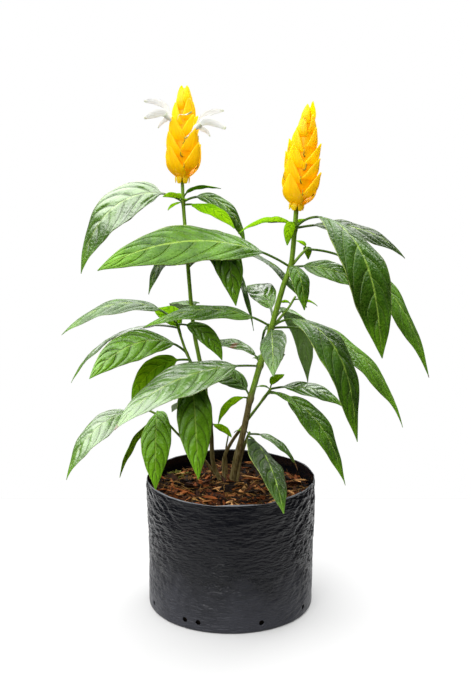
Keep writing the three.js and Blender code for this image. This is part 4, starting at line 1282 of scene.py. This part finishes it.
def humus_finish():
    """Dark fine humus between the shreds, crumbly, with painted shade: nearly black where its bumps are
    lowest.
    """
    material, tree, surface = new_finish("Humus, fine and dark", {
        "Roughness": 0.95, "Specular IOR Level": 0.15})
    crumbs = noise(tree, object_place(tree), 3, 6.0, 0.75)
    # Painted shade: the same noise sets colour and bump, so the hollows of the bump take the near-black
    # stops.
    colour = ramp(tree, crumbs, (0.35, linear("#0c0805")), (0.6, linear("#1e130b")),
                  (0.8, linear("#3e2a18")))
    tree.links.new(colour, surface.inputs["Base Color"])
    raise_surface(tree, surface, crumbs, 1.0, 1.5)
    return material


def white_room(stage):
    """White surroundings: a bright ceiling window nearly overhead, a little to the left and the rear, and
    dimmer walls, darkest at the front where the photographer stands. What the camera sees directly is
    plain white or brighter."""
    world = bpy.data.worlds.new("White room")
    world.use_nodes = True
    tree = world.node_tree
    tree.nodes.clear()
    direction = add(tree, "ShaderNodeTexCoord", out="Generated")
    _, rearward, upward = split(tree, direction)
    towards = add(tree, "ShaderNodeVectorMath", out="Value", operation="DOT_PRODUCT", inputs={
        0: direction, 1: tuple(normalised(WINDOW))})
    window = ranged(tree, towards, 0.4, 0.75, 0.0, stage.window, interpolation_type="SMOOTHSTEP")
    above = ranged(tree, upward, 0.1, 0.45, 0.0, 1.0, interpolation_type="SMOOTHSTEP")
    shining = maths(tree, "MULTIPLY", window, above)
    walls = ranged(tree, rearward, -0.9, 0.7, 0.15 * stage.sky, stage.sky)
    faded = maths(tree, "MULTIPLY", walls, ranged(tree, upward, -0.15, 0.25, 0.2, 1.0))
    lit = maths(tree, "ADD", faded, shining)
    seen = maths(tree, "MAXIMUM", lit, add(tree, "ShaderNodeLightPath", out="Is Camera Ray"))
    light = add(tree, "ShaderNodeBackground", inputs={"Color": (1.0, 1.0, 1.0, 1.0), "Strength": seen})
    add(tree, "ShaderNodeOutputWorld", out=None, inputs={"Surface": light})
    return world


class BagSettings(PropertyGroup):
    """Creases and colours of the bag."""
    ripple: FloatProperty(name="Ripples", description="Depth of the fine ripples, in millimetres",
                          default=0.28, min=0, max=1)
    crumple: FloatProperty(name="Crumples", description="Depth of the sharp creases, in millimetres",
                           default=0.7, min=0, max=2)
    film: colour_property("Film", "Black of the clean film", "#06070a")
    # Grey of the scuffs and of the lower film, which there is partly dusting and partly a painted
    # reflection of the floor.
    dust_and_reflection: colour_property("Dust", "Grey of the scuffed and dusty film", "#43444c")


class MulchSettings(PropertyGroup):
    """How much lies on the mulch bed, and its colours."""
    chips: IntProperty(name="Bark chips", description="Number of bark chips", default=1300, min=0)
    fibres: IntProperty(name="Fibres", description="Number of thin fibres", default=2600, min=0)
    straws: IntProperty(name="Straws", description="Number of pale straws", default=90, min=0)
    bark: colour_property("Bark", "Red brown of fresh bark", "#381b09")


class StemSettings(PropertyGroup):
    """Colours of the stems."""
    bark: colour_property("Bark", "Brown of the old stem", "#7a6c3c")
    green: colour_property("Green", "Green of the young stem", "#80a432")


class LeafSettings(PropertyGroup):
    """Thickness, relief and colours of the leaves."""
    thickness: FloatProperty(name="Thickness", description="Thickness of a blade", unit="LENGTH",
                             subtype="DISTANCE", default=0.45 * MM, min=0.1 * MM)
    quilting: FloatProperty(name="Quilting", description="Depth of the quilting between side veins",
                            unit="LENGTH", subtype="DISTANCE", default=2.0 * MM, min=0)
    sheen: FloatProperty(name="Sheen", description="Silvery sheen of the upper face", default=0.02, min=0,
                         max=1)
    dark: colour_property("Dark green", "Green of the darker parts of a full-grown leaf", "#2b5006")
    light: colour_property("Light green", "Green of the lighter parts of a full-grown leaf", "#5a8a10")
    # Painted light: a lighter green that stands in for light shining through a blade; the finish itself
    # lets no light through.
    bright: colour_property("Bright green", "Green of a leaf that light passes through", "#74a006")


class SpikeSettings(PropertyGroup):
    """Thickness and colours of the bracts."""
    thickness: FloatProperty(name="Thickness", description="Thickness of a bract", unit="LENGTH",
                             subtype="DISTANCE", default=0.5 * MM, min=0.1 * MM)
    gold: colour_property("Gold", "Yellow of a bract", "#ffc800")
    deep: colour_property("Deep gold", "Orange at the foot of a bract", "#febc00")


class StageSettings(PropertyGroup):
    """The floor, the lights and the camera."""
    floor: colour_property("Floor", "Colour of the floor", "#a4a4a4")
    glow: FloatProperty(name="Glow", description="Light that the floor gives off", default=0.14, min=0)
    edge: FloatProperty(name="Front edge", unit="LENGTH", subtype="DISTANCE", default=0.37, min=0.3,
                        description="How far in front of the bag's middle the floor ends")
    sky: FloatProperty(name="Walls", description="Strength of the white walls", default=0.15, min=0)
    window: FloatProperty(name="Window", description="Strength of the ceiling window", default=4.0, min=0)
    key: FloatProperty(name="Key light", description="Power of the key light in watts", default=12, min=0)
    back: FloatProperty(name="Back light", description="Power of the back light in watts", default=18,
                        min=0)


def drain_drill():
    """Round rods through the wall of the bag, one for each drain hole."""
    angle = np.linspace(0, 2 * np.pi, DRAIN_HOLE_SIDES, endpoint=False)[:, None]
    reach = np.array([BAG_RADIUS - DRILL_REACH, BAG_RADIUS + DRILL_REACH])[:, None, None]
    rods = []
    for turn in np.radians(DRAIN_HOLE_DEGREES):
        way = np.array([np.cos(turn), np.sin(turn), 0])
        ring = DRAIN_HOLE_RADIUS * (np.cos(angle) * np.cross(UP, way) + np.sin(angle) * UP)
        rods.append(closed_tube(ring[None] + reach * way + [0, 0, DRAIN_HOLE_HEIGHT]))
    return merged(rods)


class PLANT_OT_bag(Operator):
    """Builds the bag: one closed film, creased, with round drain holes near its base"""
    bl_idname = "plant.bag"
    bl_label = "Grow bag"

    def execute(self, context):
        settings = context.scene.plant_bag
        mesh = build_mesh("bag_film", *closed_tube(bag_film(settings)))
        film = place_piece(mesh, film_finish(settings), "bag_film", "grow_bag")
        drill = bpy.data.objects.new("drill", build_mesh("drill", *drain_drill()))
        context.scene.collection.objects.link(drill)
        holes = film.modifiers.new("Drain holes", "BOOLEAN")
        holes.object, holes.operation, holes.solver = drill, "DIFFERENCE", "EXACT"
        film.data = bpy.data.meshes.new_from_object(film.evaluated_get(context.evaluated_depsgraph_get()))
        film.modifiers.clear()
        bpy.data.objects.remove(drill)
        return {"FINISHED"}


class PLANT_OT_mulch(Operator):
    """Builds the mulch: a dark bed, and bark chips, fibres, straws, a root and moss that lie on it"""
    bl_idname = "plant.mulch"
    bl_label = "Mulch"

    def execute(self, context):
        settings = context.scene.plant_mulch
        bed = build_mesh("mulch_bed", *mulch_bed())
        place_piece(bed, humus_finish(), "bark", "bark_mulch")
        bark = shred_finish("Bark, shredded", [
            (0.0, linear("#080503")), (0.35, linear("#1a0f07")), (0.58, tuple(settings.bark)),
            (0.82, linear("#84461e")), (1.0, linear("#b88c58"))])
        coir = shred_finish("Coir fibre", [
            (0.0, linear("#180e06")), (0.5, linear("#402410")), (1.0, linear("#94703a"))])
        straw = shred_finish("Straw, dry", [(0.0, linear("#a98f5c")), (1.0, linear("#e0d2a6"))], 0.6)
        moss = shred_finish("Moss, dry", [(0.0, linear("#3c3c16")), (1.0, linear("#8a8a3c"))])
        kinds = (
            ("bark_chips", bark, {"count": settings.chips, "seed": 61, "lengths": (8, 36),
                                  "width_share": 0.3, "thickness": 2.0, "curl": 0.2, "lift": 3.2}),
            ("coir_fibres", coir, {"count": settings.fibres, "seed": 62, "lengths": (7, 36),
                                   "width_share": 0.045, "thickness": 0.6, "curl": 0.9, "lift": 2.4}),
            ("straws", straw, {"count": settings.straws, "seed": 63, "lengths": (6, 20),
                               "width_share": 0.06, "thickness": 0.6, "curl": 0.2}),
        )
        for name, finish, shape in kinds:
            (vertices, faces), values = shreds(**shape)
            mesh = build_mesh(name, vertices, faces, {"shred": values}, smooth=False)
            place_piece(mesh, finish, "bark", "bark_mulch")
        (vertices, faces), values = shreds(count=220, seed=64, lengths=(2, 6), width_share=0.4,
                                           thickness=0.8, curl=0.5, reach=15.0)
        mesh = build_mesh("moss", vertices + MOSS_PLACE, faces, {"shred": values})
        place_piece(mesh, moss, "bark", "bark_mulch")
        (vertices, faces), values = thread_shape(ROOT_PATH, (1.2, 1.1, 1.0, 0.8))
        mesh = build_mesh("root", vertices, faces, {"shred": values * [0, 1, 0] + [0.7, 0, 0.5]})
        place_piece(mesh, coir, "bark", "bark_mulch")
        return {"FINISHED"}


class PLANT_OT_stems(Operator):
    """Builds the stems, each group of them that grew together as one piece"""
    bl_idname = "plant.stems"
    bl_label = "Stems"

    def execute(self, context):
        finish = stem_finish(context.scene.plant_stem)
        for node, names in STEM_NODES.items():
            vertices, faces, values = merged_with_values([stem_tube(name) for name in names])
            mesh = build_mesh(f"{node}_bark", vertices, faces, {"growth": values})
            place_piece(mesh, finish, "stem", node)
        return {"FINISHED"}


class PLANT_OT_leaves(Operator):
    """Builds the full-grown leaves, each a piece of its own, and the young ones of each stem"""
    bl_idname = "plant.leaves"
    bl_label = "Leaves"

    def execute(self, context):
        settings = context.scene.plant_leaf
        greens = tuple(settings.dark), tuple(settings.light), linear("#8fae44"), linear("#6a8840")
        painted_backlit_greens = linear("#4d8404"), tuple(settings.bright), linear("#94c020"), linear("#86b418")
        grown = leaf_finish("Waxy leaf, full-grown", settings, greens, 0.5, 0.2)
        waxy = leaf_finish("Waxy leaf, thickly coated", settings, greens, 1.0, 0.9, 1.7)
        dull = leaf_finish("Waxy leaf, dulled by age", settings, greens, 0.2, 0.0)
        # Painted light: the lighter greens of this finish stand in for light shining through the blades of
        # the full-grown leaves listed for it; the young leaves wear the same finish.
        bright = leaf_finish("Waxy leaf, light passing through", settings, painted_backlit_greens, 0.0, 0.0)
        kinds = dict.fromkeys(PAINTED_BACKLIT_LEAVES, bright) | dict.fromkeys(WAXY_LEAVES, waxy)
        kinds |= dict.fromkeys(DULL_LEAVES, dull)
        for seed, (name, row) in enumerate(LEAVES.items()):
            shape, blade, pairs = leaf_shape(row, settings, seed)
            growth = np.column_stack([np.full(len(blade), pairs), dried(name, blade),
                                      np.full(len(blade), LEAF_TONES_AND_PAINTED_SHADE.get(name, 0.0))])
            mesh = build_mesh(f"{name}_blade", *shape, {"blade": blade, "growth": growth})
            place_piece(mesh, kinds.get(name, grown), "leaf", name)
        for node, rows in YOUNG_LEAVES.items():
            shapes = [leaf_shape(row, settings, 90 + index, 26, 11, 4) for index, row in enumerate(rows)]
            vertices, faces = merged([shape for shape, _, _ in shapes])
            blade = np.vstack([value for _, value, _ in shapes])
            growth = np.vstack([[[pairs, 0, 0.1]] * len(value) for _, value, pairs in shapes])
            mesh = build_mesh(f"{node}_young_leaves", vertices, faces, {"blade": blade, "growth": growth})
            place_piece(mesh, bright, "leaf", node)
        return {"FINISHED"}


class PLANT_OT_spikes(Operator):
    """Builds the two spikes of golden bracts, and the olive remains of flowers between the bracts"""
    bl_idname = "plant.spikes"
    bl_label = "Spikes"

    def execute(self, context):
        settings = context.scene.plant_spike
        finish = bract_finish(settings)
        olive, _, _ = new_finish("Calyx, fresh, olive", {"Roughness": 0.6, "Base Color": linear("#b0a426")})
        for side, spec in SPIKES.items():
            vertices, faces, values = spike_shape(spec, settings)
            mesh = build_mesh(f"spike_{side}_bracts", vertices, faces, {"bract": values})
            place_piece(mesh, finish, "bract", f"spike_{side}")
            mesh = build_mesh(f"spike_{side}_calyces", *calyx_shape(spec))
            place_piece(mesh, olive, "stem", f"spike_{side}")
        return {"FINISHED"}


class PLANT_OT_flowers(Operator):
    """Builds the two white flowers with their stamens"""
    bl_idname = "plant.flowers"
    bl_label = "Flowers"

    def execute(self, context):
        finish = petal_finish()
        for name, paths in FLOWERS.items():
            shapes = [thread_shape(paths["tube"], TUBE_RADII)]
            for part, (widths, fold) in PETALS.items():
                shapes.append(petal_shape(paths[part], widths, fold, PETAL_FACING))
            for path in paths["stamens"]:
                thread, values = thread_shape(path, STAMEN_RADII)
                values[:, 2] = smoothstep(ANTHER_START, ANTHER_FULL, values[:, 1])
                shapes.append((thread, values))
            vertices, faces, values = merged_with_values(shapes)
            mesh = build_mesh(f"{name}_petals", vertices, faces, {"petal": values})
            place_piece(mesh, finish, "petal", name)
        return {"FINISHED"}


class PLANT_OT_stage(Operator):
    """Builds the floor, the lamps, the white surroundings and the camera"""
    bl_idname = "plant.stage"
    bl_label = "Stage"

    def execute(self, context):
        settings, scene = context.scene.plant_stage, context.scene
        mesh = bpy.data.meshes.new("floor")
        corners = [(-FLOOR_SIDE, -settings.edge, 0), (FLOOR_SIDE, -settings.edge, 0),
                   (FLOOR_SIDE, FLOOR_REAR, 0), (-FLOOR_SIDE, FLOOR_REAR, 0)]
        mesh.from_pydata(corners, [], [(0, 1, 2, 3)])
        finish, _, _ = new_finish("Acrylic, white, matt and lit from below", {
            "Base Color": tuple(settings.floor), "Roughness": 0.9, "Specular IOR Level": 0.1,
            "Emission Strength": settings.glow, "Emission Color": (1.0, 1.0, 1.0, 1.0)})
        mesh.materials.append(finish)
        floor = bpy.data.objects.new("floor", mesh)
        scene.collection.objects.link(floor)
        scene.world = white_room(settings)
        scene.view_settings.view_transform = "Standard"
        for name, (place, size) in LAMPS.items():
            light = bpy.data.lights.new(name, "AREA")
            light.shape, light.size, light.energy = "SQUARE", size, getattr(settings, name)
            lamp = bpy.data.objects.new(name, light)
            lamp.location = place
            lamp.rotation_euler = (Vector(LAMP_TARGET) - Vector(place)).to_track_quat("-Z", "Y").to_euler()
            scene.collection.objects.link(lamp)
        camera = bpy.data.objects.new("camera", bpy.data.cameras.new("camera"))
        camera.data.lens, camera.data.sensor_width = CAMERA_LENS, CAMERA_SENSOR
        camera.location = CAMERA_PLACE
        camera.rotation_euler = (np.radians(90 - CAMERA_PITCH), 0, 0)
        scene.collection.objects.link(camera)
        scene.camera = camera
        return {"FINISHED"}


class PLANT_PT_panel(Panel):
    """Lists the pieces and their settings in the sidebar"""
    bl_idname = "PLANT_PT_panel"
    bl_label = "Potted plant"
    bl_space_type = "VIEW_3D"
    bl_region_type = "UI"
    bl_category = "Plant"

    def draw(self, context):
        for group, operator in PIECES:
            box = self.layout.box()
            if group:
                settings = getattr(context.scene, group)
                for key in settings.__annotations__:
                    box.prop(settings, key)
            box.operator(operator)


GROUPS = {
    "plant_bag": BagSettings,
    "plant_mulch": MulchSettings,
    "plant_stem": StemSettings,
    "plant_leaf": LeafSettings,
    "plant_spike": SpikeSettings,
    "plant_stage": StageSettings,
}
# The settings of each piece and the operator that builds it, in the order of building
PIECES = (
    ("plant_bag", "plant.bag"),
    ("plant_mulch", "plant.mulch"),
    ("plant_stem", "plant.stems"),
    ("plant_leaf", "plant.leaves"),
    ("plant_spike", "plant.spikes"),
    (None, "plant.flowers"),
    ("plant_stage", "plant.stage"),
)
CLASSES = (*GROUPS.values(), PLANT_OT_bag, PLANT_OT_mulch, PLANT_OT_stems, PLANT_OT_leaves, PLANT_OT_spikes,
           PLANT_OT_flowers, PLANT_OT_stage, PLANT_PT_panel)


def register():
    for cls in CLASSES:
        register_class(cls)
    for name, group in GROUPS.items():
        setattr(bpy.types.Scene, name, PointerProperty(type=group))


def unregister():
    for name in GROUPS:
        delattr(bpy.types.Scene, name)
    for cls in reversed(CLASSES):
        unregister_class(cls)


def main():
    """Registers the add-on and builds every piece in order."""
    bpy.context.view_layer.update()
    register()
    for _, operator in PIECES:
        section, name = operator.split(".")
        getattr(getattr(bpy.ops, section), name)()


if __name__ == "__main__":
    main()
